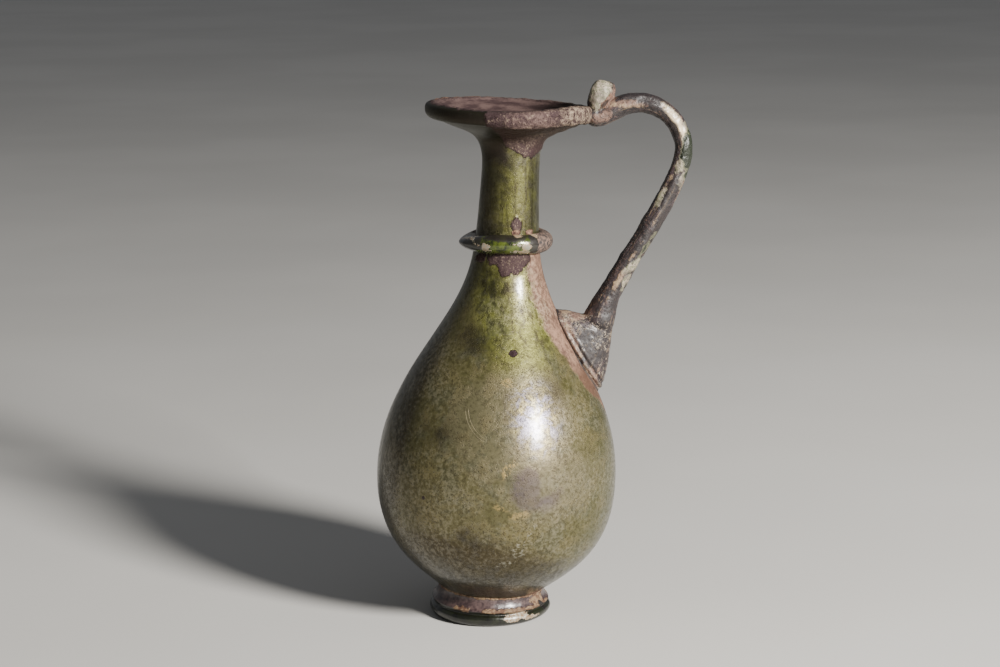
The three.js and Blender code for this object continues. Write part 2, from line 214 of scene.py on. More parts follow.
class Shade:
    """A socket that carries a number or a vector, with the sums that a finish is written in."""

    def __init__(self, board: "Board", socket: bpy.types.NodeSocket) -> None:
        """Keeps the socket and the board of nodes that it is on."""
        self.board = board
        self.socket = socket

    def _sum(self, operation: str, *values: "Operand") -> "Shade":
        """Adds one Math node."""
        node = self.board.node("ShaderNodeMath", {"operation": operation}, dict(enumerate(values)))
        return Shade(self.board, node.outputs[0])

    def __add__(self, other: "Operand") -> "Shade":
        """Adds."""
        return self._sum("ADD", self, other)

    def __radd__(self, other: "Operand") -> "Shade":
        """Adds, from the right."""
        return self._sum("ADD", other, self)

    def __sub__(self, other: "Operand") -> "Shade":
        """Subtracts."""
        return self._sum("SUBTRACT", self, other)

    def __rsub__(self, other: "Operand") -> "Shade":
        """Subtracts from a number."""
        return self._sum("SUBTRACT", other, self)

    def __mul__(self, other: "Operand") -> "Shade":
        """Multiplies."""
        return self._sum("MULTIPLY", self, other)

    def __rmul__(self, other: "Operand") -> "Shade":
        """Multiplies, from the right."""
        return self._sum("MULTIPLY", other, self)

    def __truediv__(self, other: "Operand") -> "Shade":
        """Divides."""
        return self._sum("DIVIDE", self, other)

    def most(self, other: "Operand") -> "Shade":
        """Takes the larger of two values."""
        return self._sum("MAXIMUM", self, other)

    def floor(self) -> "Shade":
        """Rounds down."""
        return self._sum("FLOOR", self)

    def cosine(self) -> "Shade":
        """Takes the cosine."""
        return self._sum("COSINE", self)

    def sine(self) -> "Shade":
        """Takes the sine."""
        return self._sum("SINE", self)

    def size(self) -> "Shade":
        """Takes the value without its sign."""
        return self._sum("ABSOLUTE", self)

    def rise(self, low: float, high: float) -> "Shade":
        """Runs smoothly from 0 at low to 1 at high, or the other way round where low is the larger."""
        start, end = (0.0, 1.0) if low < high else (1.0, 0.0)
        node = self.board.node(
            "ShaderNodeMapRange", {"interpolation_type": "SMOOTHSTEP"},
            {"Value": self, "From Min": min(low, high), "From Max": max(low, high),
             "To Min": start, "To Max": end})
        return Shade(self.board, node.outputs[0])


Operand = Union[Shade, float]


class Board:
    """A tree of nodes that is filled by one method."""

    def __init__(self, tree: bpy.types.NodeTree) -> None:
        """Keeps the tree."""
        self.tree = tree

    def node(self, kind: str, settings: dict[str, Any] | None = None,
             inputs: dict[Any, Any] | None = None) -> bpy.types.Node:
        """Adds a node.

        Args:
            kind: The node's type.
            settings: Its settings, which are set first.
            inputs: Values or links of its sockets, by name or number.

        Returns:
            The node.
        """
        made = self.tree.nodes.new(kind)
        for name, value in (settings or {}).items():
            setattr(made, name, value)
        for name, value in (inputs or {}).items():
            socket = made.inputs[name]
            if isinstance(value, Shade):
                self.tree.links.new(value.socket, socket)
            elif isinstance(value, bpy.types.NodeSocket):
                self.tree.links.new(value, socket)
            else:
                socket.default_value = value
        return made


def paint(code: str) -> tuple[float, float, float, float]:
    """Turns a colour code of six hex digits into linear light."""
    parts = [int(code[k:k + 2], 16) / 255 for k in (0, 2, 4)]
    linear = [p / 12.92 if p <= 0.04045 else ((p + 0.055) / 1.055) ** 2.4 for p in parts]
    return (linear[0], linear[1], linear[2], 1.0)


class Bench(Board):
    """The nodes of one material."""

    def __init__(self, name: str) -> None:
        """Makes an empty material."""
        self.material = bpy.data.materials.new(name)
        self.material.use_nodes = True
        super().__init__(self.material.node_tree)
        self.tree.nodes.clear()
        self.output = self.node("ShaderNodeOutputMaterial")
        self.place = self.node("ShaderNodeTexCoord").outputs["Object"]

    def noise(self, size: float, detail: float = 4, roughness: float = 0.55, distortion: float = 0,
              stretch: Sequence[float] = (1, 1, 1), place: bpy.types.NodeSocket | None = None) -> Shade:
        """Adds a cloudy pattern.

        Args:
            size: Size of its largest lumps in millimetres.
            detail: Number of finer patterns.
            roughness: Strength of the finer patterns.
            distortion: How much the pattern is stirred.
            stretch: How much longer the lumps are along X, Y and Z.
            place: Coordinates that are used in place of the object's own.

        Returns:
            A value from 0 to 1, mostly near one half.
        """
        where = place or self.place
        if tuple(stretch) != (1, 1, 1):
            shrink = tuple(1 / s for s in stretch)
            shrunk = self.node("ShaderNodeVectorMath", {"operation": "MULTIPLY"}, {0: where, 1: shrink})
            where = shrunk.outputs[0]
        made = self.node("ShaderNodeTexNoise", {}, {
            "Vector": where, "Scale": 1 / (size * MM), "Detail": detail, "Roughness": roughness,
            "Distortion": distortion})
        return Shade(self, made.outputs[0])

    def layer(self, layer: Layer) -> Shade:
        """Reads a layer off the mesh."""
        made = self.node("ShaderNodeAttribute", {"attribute_name": layer.value})
        return Shade(self, made.outputs["Fac"])

    def patch(self, layer: Layer, ragged: float, size: float, soft: float = 0.12) -> Shade:
        """Turns a layer into a patch with a ragged border.

        Args:
            layer: The layer on the mesh.
            ragged: How far the border strays, in millimetres.
            size: Size of its larger bays, in millimetres.
            soft: Half the width of the change at the border, in millimetres.

        Returns:
            1 inside and 0 outside.
        """
        return self.depth(layer, ragged, size).rise(-soft, soft)

    def depth(self, layer: Layer, ragged: float, size: float) -> Shade:
        """Gives how deep inside a ragged patch a point lies, in millimetres."""
        return self.layer(layer) + (self.noise(size, 5, 0.62) - 0.5) * (4 * ragged)

    def distance(self, place: Vector, stretch: Sequence[float] = (1, 1, 1)) -> Shade:
        """Gives the distance to a place in millimetres, measured shorter along a stretched direction."""
        away = self.node("ShaderNodeVectorMath", {"operation": "SUBTRACT"}, {0: self.place, 1: tuple(place)})
        scale = tuple(1 / (s * MM) for s in stretch)
        scaled = self.node("ShaderNodeVectorMath", {"operation": "MULTIPLY"}, {0: away.outputs[0], 1: scale})
        length = self.node("ShaderNodeVectorMath", {"operation": "LENGTH"}, {0: scaled.outputs[0]})
        return Shade(self, length.outputs["Value"])

    def tint(self, factor: Operand, base: Any, top: Any) -> bpy.types.NodeSocket:
        """Lays one colour over another.

        Args:
            factor: How much the top colour covers.
            base: A colour code or a socket.
            top: A colour code or a socket.

        Returns:
            The mixed colour's socket.
        """
        colours = [paint(c) if isinstance(c, str) else c for c in (base, top)]
        made = self.node("ShaderNodeMix", {"data_type": "RGBA", "clamp_factor": True},
                         {0: factor, 6: colours[0], 7: colours[1]})
        return made.outputs[2]

    def bump(self, height: Shade) -> bpy.types.NodeSocket:
        """Turns a height in millimetres into a bumpy normal."""
        return self.node("ShaderNodeBump", {}, {"Strength": 1, "Distance": MM, "Height": height}).outputs[0]

    def surface(self, **inputs: Any) -> bpy.types.NodeSocket:
        """Adds the main shader with named sockets, written with underscores."""
        named = {name.replace("_", " "): value for name, value in inputs.items()}
        return self.node("ShaderNodeBsdfPrincipled", {}, named).outputs[0]

    def finish(self, shader: bpy.types.NodeSocket) -> bpy.types.Material:
        """Joins the shader to the output and gives the material."""
        self.tree.links.new(shader, self.output.inputs["Surface"])
        return self.material


@dataclass(frozen=True)
class Blot:
    """A patch on the wall: its height and side, half its width and height, and its turn in degrees."""

    height: float
    side: float
    half_width: float
    half_height: float
    turn: float = 0

    def depth(self, heights: np.ndarray, sides: np.ndarray, radii: np.ndarray | float) -> np.ndarray:
        """Gives how deep inside the patch each point lies, in millimetres."""
        across = np.radians(wrapped(sides - self.side)) * radii
        up = heights - self.height
        cos, sin = math.cos(math.radians(self.turn)), math.sin(math.radians(self.turn))
        along = across * cos + up * sin
        over = -across * sin + up * cos
        away = np.hypot(along / self.half_width, over / self.half_height)
        return (1 - away) * min(self.half_width, self.half_height)


def deepest(blots: Sequence[Blot], heights: np.ndarray, sides: np.ndarray,
            radii: np.ndarray | float) -> np.ndarray:
    """Joins patches into one layer."""
    return np.max([blot.depth(heights, sides, radii) for blot in blots], axis=0)


@dataclass
class VesselShape:
    """Sizes and profile of the blown vessel, with its stance and its limits in the part's frame.

    The lip's start, top and end are angles up from straight outwards, in half turns. The values
    from base_spread on are shares of the stretch of wall that they shape.
    """

    stand_x: float
    limits: tuple[Vector, Vector]
    lean: float = 3.1
    base_height: float = 6
    base_radius: float = 15.5
    base_kick: float = 4.5
    belly_rise: float = 50
    belly_radius: float = 46.8
    shoulder_rise: float = 86
    neck_foot_radius: float = 13.2
    neck_length: float = 35
    throat_radius: float = 11.15
    funnel_depth: float = 23
    mouth_radius: float = 31.7
    mouth_shift: float = -2
    lip_radius: float = 3
    lip_squareness: float = 3.2
    rim_lift: float = 1.9
    rim_lift_side: float = -35
    rim_lift_width: float = 31
    base_wall: float = 3.6
    belly_wall: float = 2.2
    neck_wall: float = 2.6
    rim_wall: float = 4.9
    lip_clearance: float = 0.4
    lip_start: float = -0.6
    lip_top: float = 0.5
    lip_end: float = 0.72
    base_spread: float = 0.36
    base_lift: float = 0.26
    belly_below: float = 0.66
    belly_above: float = 0.43
    shoulder_fall: float = 0.34
    neck_taper: float = 0.17
    neck_start: float = 0.2
    throat_run: float = 0.3
    flare_rise: float = 0.62
    flare_spread: float = 0.28
    flare_fall: float = 0.26

    @property
    def belly_height(self) -> float:
        """Height of the widest place."""
        return self.base_height + self.belly_rise

    @property
    def neck_foot_height(self) -> float:
        """Height where the shoulder meets the neck."""
        return self.belly_height + self.shoulder_rise

    @property
    def throat_height(self) -> float:
        """Height where the neck opens into the funnel."""
        return self.neck_foot_height + self.neck_length

    @property
    def rim_height(self) -> float:
        """Height of the rim's top."""
        return self.throat_height + self.funnel_depth

    @property
    def lip_middle(self) -> tuple[float, float]:
        """Middle of the folded lip, as radius and height."""
        return (self.mouth_radius - self.lip_radius, self.rim_height - self.lip_radius)

    def lip(self, start: float, end: float, count: int) -> np.ndarray:
        """Gives points on the folded lip between two angles up from straight outwards."""
        angles = np.linspace(start, end, count) * math.pi
        cos, sin = np.cos(angles), np.sin(angles)
        power = np.where((cos > 1e-9) & (sin > 0), 2 / self.lip_squareness, 1)
        middle = self.lip_middle
        return np.stack([middle[0] + self.lip_radius * np.sign(cos) * np.abs(cos) ** power,
                         middle[1] + self.lip_radius * np.sign(sin) * np.abs(sin) ** power], axis=1)

    def walls(self) -> list[np.ndarray]:
        """Gives the outside as four fine curves of radius, height and wall, from the base to the lip."""
        under_lip = self.lip(self.lip_start, self.lip_start, 1)[0]
        width = self.belly_radius - self.base_radius
        fall = self.shoulder_fall * self.shoulder_rise
        run = self.neck_start * self.neck_length
        flare = under_lip[0] - self.throat_radius
        belly = (self.belly_radius, self.belly_height, self.belly_wall)
        neck_foot = (self.neck_foot_radius, self.neck_foot_height, self.neck_wall)
        throat = (self.throat_radius, self.throat_height, self.neck_wall)
        low = bezier((self.base_radius, self.base_height, self.base_wall),
                     (self.base_radius + self.base_spread * width,
                      self.base_height + self.base_lift * self.belly_rise, self.base_wall),
                     (self.belly_radius, self.belly_height - self.belly_below * self.belly_rise,
                      self.belly_wall),
                     belly, 200)
        high = bezier(belly,
                      (self.belly_radius, self.belly_height + self.belly_above * self.shoulder_rise,
                       self.belly_wall),
                      (self.neck_foot_radius + self.neck_taper * fall, self.neck_foot_height - fall,
                       self.neck_wall),
                      neck_foot, 200)
        neck = bezier(neck_foot,
                      (self.neck_foot_radius - self.neck_taper * run, self.neck_foot_height + run,
                       self.neck_wall),
                      (self.throat_radius, self.throat_height - self.throat_run * self.neck_length,
                       self.neck_wall),
                      throat, 120)
        funnel = bezier(throat,
                        (self.throat_radius, self.throat_height + self.flare_rise * self.funnel_depth,
                         0.67 * self.neck_wall + 0.33 * self.rim_wall),
                        (self.throat_radius + self.flare_spread * flare,
                         under_lip[1] - self.flare_fall * self.funnel_depth,
                         0.33 * self.neck_wall + 0.67 * self.rim_wall),
                        (under_lip[0], under_lip[1], self.rim_wall), 160)
        return [low, high, neck, funnel]

    def outside(self) -> np.ndarray:
        """Gives the outside as one fine line of radius, height and wall."""
        return chain(*self.walls())

    def inner_side(self) -> np.ndarray:
        """Gives the inside from the floor's edge up to the funnel."""
        line = self.outside()
        slope = slope_of(line[:, :2])
        inner = line[:, :2] + np.stack([-slope[:, 1], slope[:, 0]], axis=1) * line[:, 2:3]
        away = np.linalg.norm(inner - np.array(self.lip_middle), axis=1)
        return inner[away > self.lip_radius + self.lip_clearance]

    def radius_at(self, heights: np.ndarray | float) -> np.ndarray:
        """Gives the outside radius at heights up to the lip."""
        line = self.outside()
        return np.interp(heights, line[:, 1], line[:, 0])

    def shape_mouth(self, points: np.ndarray) -> np.ndarray:
        """Moves the funnel off the axis and lifts the rim on one side of the handle."""
        share = smooth_step(points[:, 2], self.throat_height, self.rim_height)
        away = wrapped(sides_of(points) - self.rim_lift_side) / self.rim_lift_width
        moved = points.copy()
        moved[:, 0] += self.mouth_shift * share
        moved[:, 2] += self.rim_lift * share * share * np.exp(-away * away)
        return moved

    def stand(self, points: np.ndarray, share: np.ndarray | float = 1) -> np.ndarray:
        """Leans points by a share of the lean and gives them as metres in the part's frame."""
        turn = np.radians(self.lean) * share
        x = points[:, 0] * np.cos(turn) + points[:, 2] * np.sin(turn) + self.stand_x
        z = points[:, 2] * np.cos(turn) - points[:, 0] * np.sin(turn)
        return np.stack([x, points[:, 1], z], axis=1) * MM

    def spot(self, height: float, side: float, proud: float = 0) -> Vector:
        """Gives the place on the outside wall at a height and a side, as metres in the part's frame."""
        radius = float(self.radius_at(height)) + proud
        turn = math.radians(side)
        point = np.array([[radius * math.cos(turn), radius * math.sin(turn), height]])
        return Vector(self.stand(point)[0])


def read_rows(collection: Any, name: str) -> np.ndarray:
    """Reads a value of three numbers from each item of a mesh."""
    flat = np.empty(len(collection) * 3, np.float32)
    collection.foreach_get(name, flat)
    return flat.reshape(-1, 3).astype(float)


def points_of(mesh: bpy.types.Mesh) -> np.ndarray:
    """Reads a mesh's points in millimetres."""
    return read_rows(mesh.vertices, "co") / MM


def normals_of(mesh: bpy.types.Mesh) -> np.ndarray:
    """Reads the directions that a mesh's points face."""
    return read_rows(mesh.vertex_normals, "vector")


def put_points(mesh: bpy.types.Mesh, points: np.ndarray) -> None:
    """Writes a mesh's points."""
    mesh.vertices.foreach_set("co", points.astype(np.float32).ravel())
    mesh.update()


def keep_layer(mesh: bpy.types.Mesh, layer: Layer, depths: np.ndarray) -> None:
    """Keeps a layer on a mesh, with depths limited either way."""
    made = mesh.attributes.new(layer.value, "FLOAT", "POINT")
    made.data.foreach_set("value", np.clip(depths, OUTSIDE, LAYER_LIMIT).astype(np.float32))


def keep_vector(mesh: bpy.types.Mesh, layer: Layer, vectors: np.ndarray) -> None:
    """Keeps coordinates that follow the surface on a mesh."""
    made = mesh.attributes.new(layer.value, "FLOAT_VECTOR", "POINT")
    made.data.foreach_set("vector", vectors.astype(np.float32).ravel())


def new_object(name: str, points: np.ndarray, faces: Sequence[Sequence[int]],
               edges: Sequence[Sequence[int]] = ()) -> bpy.types.Object:
    """Makes a mesh object at the origin and links it to the scene."""
    mesh = bpy.data.meshes.new(name)
    mesh.from_pydata([tuple(p) for p in points], [tuple(e) for e in edges], [tuple(f) for f in faces])
    made = bpy.data.objects.new(name, mesh)
    bpy.context.scene.collection.objects.link(made)
    return made


def face_out(mesh: bpy.types.Mesh) -> None:
    """Turns a mesh's faces outwards."""
    work = bmesh.new()
    work.from_mesh(mesh)
    bmesh.ops.recalc_face_normals(work, faces=work.faces)
    work.to_mesh(mesh)
    work.free()


def settle(piece: bpy.types.Object) -> bpy.types.Mesh:
    """Turns a piece with modifiers into a plain mesh with its faces turned outwards."""
    graph = bpy.context.evaluated_depsgraph_get()
    mesh = bpy.data.meshes.new_from_object(
        piece.evaluated_get(graph), preserve_all_data_layers=True, depsgraph=graph)
    piece.modifiers.clear()
    piece.data = mesh
    face_out(mesh)
    mesh.shade_smooth()
    return mesh


def inside_box(points: np.ndarray, box: tuple[Vector, Vector]) -> np.ndarray:
    """Keeps points inside a box."""
    return np.clip(points, np.array(box[0]), np.array(box[1]))


class Turning:
    """A tree of geometry nodes that turns a profile round the axis, as a vessel is turned."""

    ROW = "row"

    def __init__(self) -> None:
        """Builds the tree with its named inputs."""
        group = bpy.data.node_groups.new("turned_form", "GeometryNodeTree")
        group.interface.new_socket("Geometry", in_out="OUTPUT", socket_type="NodeSocketGeometry")
        self.inputs = {}
        kinds = {"Profile": "Geometry", "Segments": "Int", "Weld": "Float", "Glass": "Material"}
        for name, kind in kinds.items():
            socket = group.interface.new_socket(name, in_out="INPUT", socket_type=f"NodeSocket{kind}")
            self.inputs[name] = socket.identifier
        self.group = group
        board = Board(group)
        given = board.node("NodeGroupInput").outputs
        profile, segments = given["Profile"], Shade(board, given["Segments"])
        columns = segments + 1
        rows = board.node("GeometryNodeAttributeDomainSize", {"component": "MESH"}, {"Geometry": profile})
        grid = board.node("GeometryNodeMeshGrid", {}, {
            "Vertices X": rows.outputs["Point Count"], "Vertices Y": columns})
        index = Shade(board, board.node("GeometryNodeInputIndex").outputs[0])
        row = ((index + 0.5) / columns).floor()
        place = board.node("GeometryNodeInputPosition").outputs[0]
        taken = board.node("GeometryNodeSampleIndex", {"data_type": "FLOAT_VECTOR", "domain": "POINT"}, {
            "Geometry": profile, "Value": place, "Index": row})
        apart = board.node("ShaderNodeSeparateXYZ", {}, {0: taken.outputs[0]})
        radius, height = Shade(board, apart.outputs["X"]), apart.outputs["Z"]
        angle = (index - row * columns) * FULL_TURN / segments
        turned = board.node("ShaderNodeCombineXYZ", {}, {
            "X": radius * angle.cosine(), "Y": radius * angle.sine(), "Z": height})
        marked = board.node("GeometryNodeStoreNamedAttribute", {"data_type": "INT", "domain": "POINT"}, {
            "Geometry": grid.outputs["Mesh"], "Name": self.ROW, "Value": row})
        moved = board.node("GeometryNodeSetPosition", {}, {
            "Geometry": marked.outputs[0], "Position": turned.outputs[0]})
        welded = board.node("GeometryNodeMergeByDistance", {}, {
            "Geometry": moved.outputs[0], "Distance": given["Weld"]})
        real = board.node("GeometryNodeRealizeInstances", {}, {"Geometry": welded.outputs[0]})
        dressed = board.node("GeometryNodeSetMaterial", {}, {
            "Geometry": real.outputs[0], "Material": given["Glass"]})
        board.node("NodeGroupOutput", {}, {"Geometry": dressed.outputs[0]})

    def turn(self, name: str, profile: np.ndarray, segments: int,
             glass: bpy.types.Material) -> bpy.types.Object:
        """Turns a profile into a closed mesh.

        Args:
            name: The piece's name.
            profile: Radius and height of each row, in millimetres.
            segments: Number of faces round the axis.
            glass: The piece's material.

        Returns:
            The piece, upright on the origin, in metres, with its row numbers kept on its points.
        """
        points = np.stack([profile[:, 0], np.zeros(len(profile)), profile[:, 1]], axis=1) * MM
        edges = [(k, k + 1) for k in range(len(points) - 1)]
        piece = new_object(name, points, (), edges)
        change = piece.modifiers.new("turned", "NODES")
        change.node_group = self.group
        for key, value in (("Segments", segments), ("Weld", WELD * MM), ("Glass", glass)):
            change[self.inputs[key]] = value
        settle(piece)
        return piece


@dataclass(frozen=True)
class BodyFinish:
    """Weathered olive glass of the blown vessel, with its stains, crusts and chips, painted shade and a
    painted sheen round its highlights.
    """

    khaki: str = "686243"
    olive: str = "4C4A29"
    gold: str = "82774A"
    grass: str = "6F7330"
    umber: str = "302814"
    # Dark specks; also the colour of painted shade on the neck's left side and towards the bottom.
    speck_and_shade: str = "1B1B10"
    haze: str = "77705C"
    dust: str = "918A70"
    stain_pink: str = "8A6C5A"
    stain_dark: str = "553F36"
    stain_rust: str = "4A3224"
    crust_grey: str = "2D2423"
    crust_cream: str = "4E423B"
    rim_pink: str = "5C4C46"
    rim_cream: str = "94846F"
    earth: str = "8A6D56"
    slate: str = "4B4E3C"
    patch_grey: str = "443D40"
    patch_deep: str = "2B2728"
    patch_violet: str = "5B5259"
    patch_border: str = "9A834C"
    bloom: str = "8A8878"
    # Bare dark glass of the rim; also the colour of painted shade on the left of the funnel's underside.
    bottle: str = "0F120A"
    mouth: str = "2B2120"
    mouth_light: str = "4E403C"
    # Chips and crust edges; also the colour of the painted shade under the lip and the neck ring.
    chip: str = "1C1211"
    # Colours of the painted sheen around the highlights.
    painted_sheen_blue: str = "8E8CA4"
    painted_sheen_gold: str = "B0A468"

    def material(self, shape: VesselShape) -> bpy.types.Material:
        """Builds the material, with its single marks placed on the vessel's wall."""
        bench = Bench("weathered_body_glass")
        broad = bench.noise(26, 4)
        middle = bench.noise(7, 6, 0.62)
        fine = bench.noise(1.5, 4, 0.7)
        pepper = bench.noise(0.62, 3, 0.6)
        blotch = bench.noise(13, 6, 0.7, 0.3)
        streak = bench.noise(2.2, 4, 0.6, stretch=(1, 1, 9))
        rings = bench.noise(1.3, 4, 0.6, stretch=(9, 9, 1))
        inside = bench.layer(Layer.INSIDE).rise(-0.1, 0.1)
        stain = bench.patch(Layer.STAIN, 2.4, 5, 1.6)
        crust_depth = bench.depth(Layer.CRUST, 0.9, 3.5) + (streak - 0.5) * 2.6
        crust = crust_depth.rise(-0.1, 0.1)
        crust_edge = crust_depth.size().rise(0.5, 0.1)
        rim_depth = bench.depth(Layer.RIM, 1.3, 2.6)
        rim = rim_depth.rise(-0.1, 0.1)
        bare = bench.patch(Layer.BARE, 1.4, 4, 2.2)
        earth = bench.patch(Layer.EARTH, 0.6, 2.4, 0.15)
        green = (bench.layer(Layer.GREEN) + (middle - 0.5) * 8).rise(-6, 5)
        brown = (bench.layer(Layer.BROWN) + (middle - 0.5) * 8).rise(-4, 4)
        # Dark mottling, with the painted shade that the DARK layer holds under the lip, on the neck's left
        # side and towards the bottom.
        dark = (bench.layer(Layer.DARK) * 0.8 + (middle - 0.5) * 30 + (fine - 0.5) * 8).rise(-4, 7)
        hazy = (bench.layer(Layer.HAZE) + (middle - 0.5) * 12).rise(-5, 4)
        shady = bench.distance(shape.spot(162, -48), (9, 9, 22)).rise(1.3, 0.4)
        patched = bench.depth(Layer.PATCH, 2.6, 7).rise(-0.6, 2.2)
        bloom = bench.patch(Layer.BLOOM, 1.8, 2.4, 0.3)
        colour = bench.tint((broad * 0.5 + middle * 0.5).rise(0.38, 0.62), self.olive, self.khaki)
        colour = bench.tint(middle.rise(0.5, 0.7) * 0.5, colour, self.gold)
        colour = bench.tint(green * 0.7, colour, self.grass)
        colour = bench.tint(hazy * 0.35, colour, self.haze)
        colour = bench.tint(blotch.rise(0.5, 0.62) * 0.5, colour, self.slate)
        colour = bench.tint(brown * 0.75, colour, self.umber)
        colour = bench.tint(patched * (0.2 + fine * 0.7), colour, self.patch_grey)
        core = bench.distance(shape.spot(62.5, -79.5), (4.6, 4.6, 6.5)).rise(1.3, 0.4)
        colour = bench.tint(core * (0.12 + fine.rise(0.48, 0.6) * 0.5), colour, self.patch_deep)
        violet_away = bench.distance(shape.spot(55.8, -66), (6, 6, 2.8)) + (middle - 0.5) * 3.2
        violet = violet_away.rise(1.3, 0.1)
        colour = bench.tint(violet * (0.1 + fine * 0.4), colour, self.patch_violet)
        tanned = (bench.layer(Layer.SILVER) + (middle - 0.5) * 5).rise(-0.4, 0.6) * fine.rise(0.45, 0.55)
        colour = bench.tint(tanned * 0.6, colour, self.patch_border)
        # Painted iridescent sheen, blue and gold, around the two places where the key light's highlights
        # fall.
        painted_highlight_sheen = bench.distance(shape.spot(88, -70), (12, 12, 18)).rise(1.15, 0.25)
        painted_upper_highlight_sheen = bench.distance(shape.spot(134, -70), (4.5, 4.5, 8)).rise(1.2, 0.2)
        stirred = bench.noise(4.2, 5, 0.66, 0.5)
        colour = bench.tint(painted_highlight_sheen * stirred.rise(0.48, 0.6) * 0.75, colour, self.painted_sheen_blue)
        painted_gold_sheen = painted_highlight_sheen.most(painted_upper_highlight_sheen) * stirred.rise(0.47, 0.37)
        colour = bench.tint(painted_gold_sheen * 0.75, colour, self.painted_sheen_gold)
        colour = bench.tint((fine + broad * 0.6).rise(0.84, 1.0) * 0.3, colour, self.dust)
        thick = (middle + broad * 0.4 + hazy * 0.03).rise(0.56, 0.78)
        specks = pepper.rise(0.53, 0.64) * thick
        colour = bench.tint(specks * 0.6, colour, self.speck_and_shade)
        colour = bench.tint(fine.rise(0.52, 0.38) * 0.38, colour, self.speck_and_shade)
        colour = bench.tint(streak.rise(0.48, 0.62) * green * 0.6, colour, self.speck_and_shade)
        # Dark glass and mottling, with the painted shade of the DARK layer.
        colour = bench.tint((dark * 0.76).most(shady * 0.42), colour, self.speck_and_shade)
        colour = bench.tint(bloom * fine.rise(0.46, 0.6) * 0.6, colour, self.bloom)
        stained = bench.tint((fine * 0.5 + middle * 0.5).rise(0.4, 0.6), self.stain_dark, self.stain_pink)
        stained = bench.tint(broad.rise(0.5, 0.62) * fine.rise(0.44, 0.58) * 0.5, stained, self.rim_cream)
        rusty = bench.distance(shape.spot(92, -26), (13, 13, 12)).rise(1.3, 0.6)
        stained = bench.tint(rusty * 0.8, stained, self.stain_rust)
        colour = bench.tint(stain * (0.7 + fine * 0.4), colour, stained)
        # Bare dark glass on the rim and painted shade on the left of the funnel's underside.
        colour = bench.tint(bare * 0.94, colour, self.bottle)
        crusted = bench.tint(fine.rise(0.42, 0.62) * 0.55, self.crust_grey, self.crust_cream)
        crusted = bench.tint(middle.rise(0.5, 0.7) * 0.6, crusted, self.crust_cream)
        # Painted shade on the crust: the lip's shadow from the DARK layer and the shade under the neck ring,
        # both in the chip colour.
        shaded = (bench.layer(Layer.DARK) + (fine - 0.5) * 2.4).rise(-0.4, 1.8)
        painted_collar_shade = bench.distance(shape.spot(141, -84), (12, 12, 9)).rise(1.2, 0.8)
        shaded = shaded.most(painted_collar_shade * 0.55)
        crusted = bench.tint(pepper.rise(0.56, 0.62) * 0.5, crusted, self.rim_cream)
        crusted = bench.tint(shaded * 0.85, crusted, self.chip)
        colour = bench.tint(crust, colour, crusted)
        colour = bench.tint(crust_edge * 0.6, colour, self.chip)
        banded = bench.tint((middle * 0.5 + fine * 0.5).rise(0.4, 0.6), self.crust_grey, self.rim_pink)
        start = bench.layer(Layer.ROUND).rise(-1.4, -2.6)
        creamy = bench.layer(Layer.ROUND).rise(1.2, 2.8)
        banded = bench.tint(start * 0.95, banded, self.crust_grey)
        banded = bench.tint(creamy * fine.rise(0.4, 0.56) * 0.6, banded, self.rim_cream)
        flecks = (fine * 0.6 + pepper * 0.4).rise(0.54, 0.61) * (0.3 + start * 0.1 + creamy * 0.35)
        banded = bench.tint(flecks, banded, self.rim_cream)
        pits = pepper.rise(0.46, 0.38) * (0.35 + start * 0.5 + creamy * 0.5)
        banded = bench.tint(pits, banded, self.chip)
        colour = bench.tint(rim, colour, banded)
        colour = bench.tint(rim_depth.size().rise(0.5, 0.1) * 0.5, colour, self.chip)
        lined = bench.tint((middle * 0.4 + rings * 0.6).rise(0.42, 0.6), self.mouth, self.mouth_light)
        colour = bench.tint(inside, colour, lined)
        earthen = bench.tint(fine.rise(0.4, 0.6), self.stain_dark, self.earth)
        colour = bench.tint(earth, colour, earthen)
        chips = bench.distance(shape.spot(109.5, -82), (1.9, 1.9, 1.35)) + (fine - 0.5) * 1.3
        chip = chips.rise(1.05, 0.9)
        dot = bench.distance(shape.spot(54.9, -126), (0.8, 0.8, 0.8)).rise(1.1, 0.8)
        colour = bench.tint(chip.most(dot), colour, self.chip)
        scratch = self._scratch(bench, shape)
        colour = bench.tint(scratch * 0.26, colour, self.dust)
        cover = stain.most(crust).most(earth).most(inside).most(rim)
        height = (middle * 0.24 + fine * 0.06 + streak * 0.03
                  + crust * (0.35 + fine * 0.4) + rim * (0.3 + fine * 0.7 + pepper * 0.3)
                  + earth * (0.3 + fine * 0.5) + stain * (0.08 + fine * 0.18) + bloom * 0.08
                  - chip * 0.5 - scratch * 0.06 - specks * 0.05)
        normal = bench.bump(height)
        roughness = 0.38 + cover * 0.36 + (middle - 0.5) * 0.2 + (fine - 0.5) * 0.14
        roughness = roughness + bare * 0.12
        gleam = (0.42 + dark * 0.2 - patched.most(violet) * 0.25) * (1 - cover) * (1 - bare * 0.6)
        coat = (0.12 + fine.rise(0.4, 0.58) * 0.55 + middle * 0.2) * (1 - cover)
        coat = coat * (1 - bare * 0.85) * (1 - patched * 0.5)
        glass = bench.surface(
            Base_Color=colour, Roughness=roughness, Metallic=gleam, Normal=normal, IOR=1.45,
            Transmission_Weight=0.1, Coat_Weight=coat, Coat_Roughness=0.17,
            Thin_Film_Thickness=285.0, Thin_Film_IOR=1.38)
        return bench.finish(glass)

    def _scratch(self, bench: Bench, shape: VesselShape) -> Shade:
        """Draws the two faint arcs that were scratched on the front of the body."""
        middle = shape.spot(92, -88, 3)
        away = bench.distance(middle)
        near = bench.distance(shape.spot(83, -106)).rise(9, 6)
        line = (away - 14.0).size().rise(0.2, 0.08)
        second = (away - 15.1).size().rise(0.2, 0.08)
        return (line + second) * near


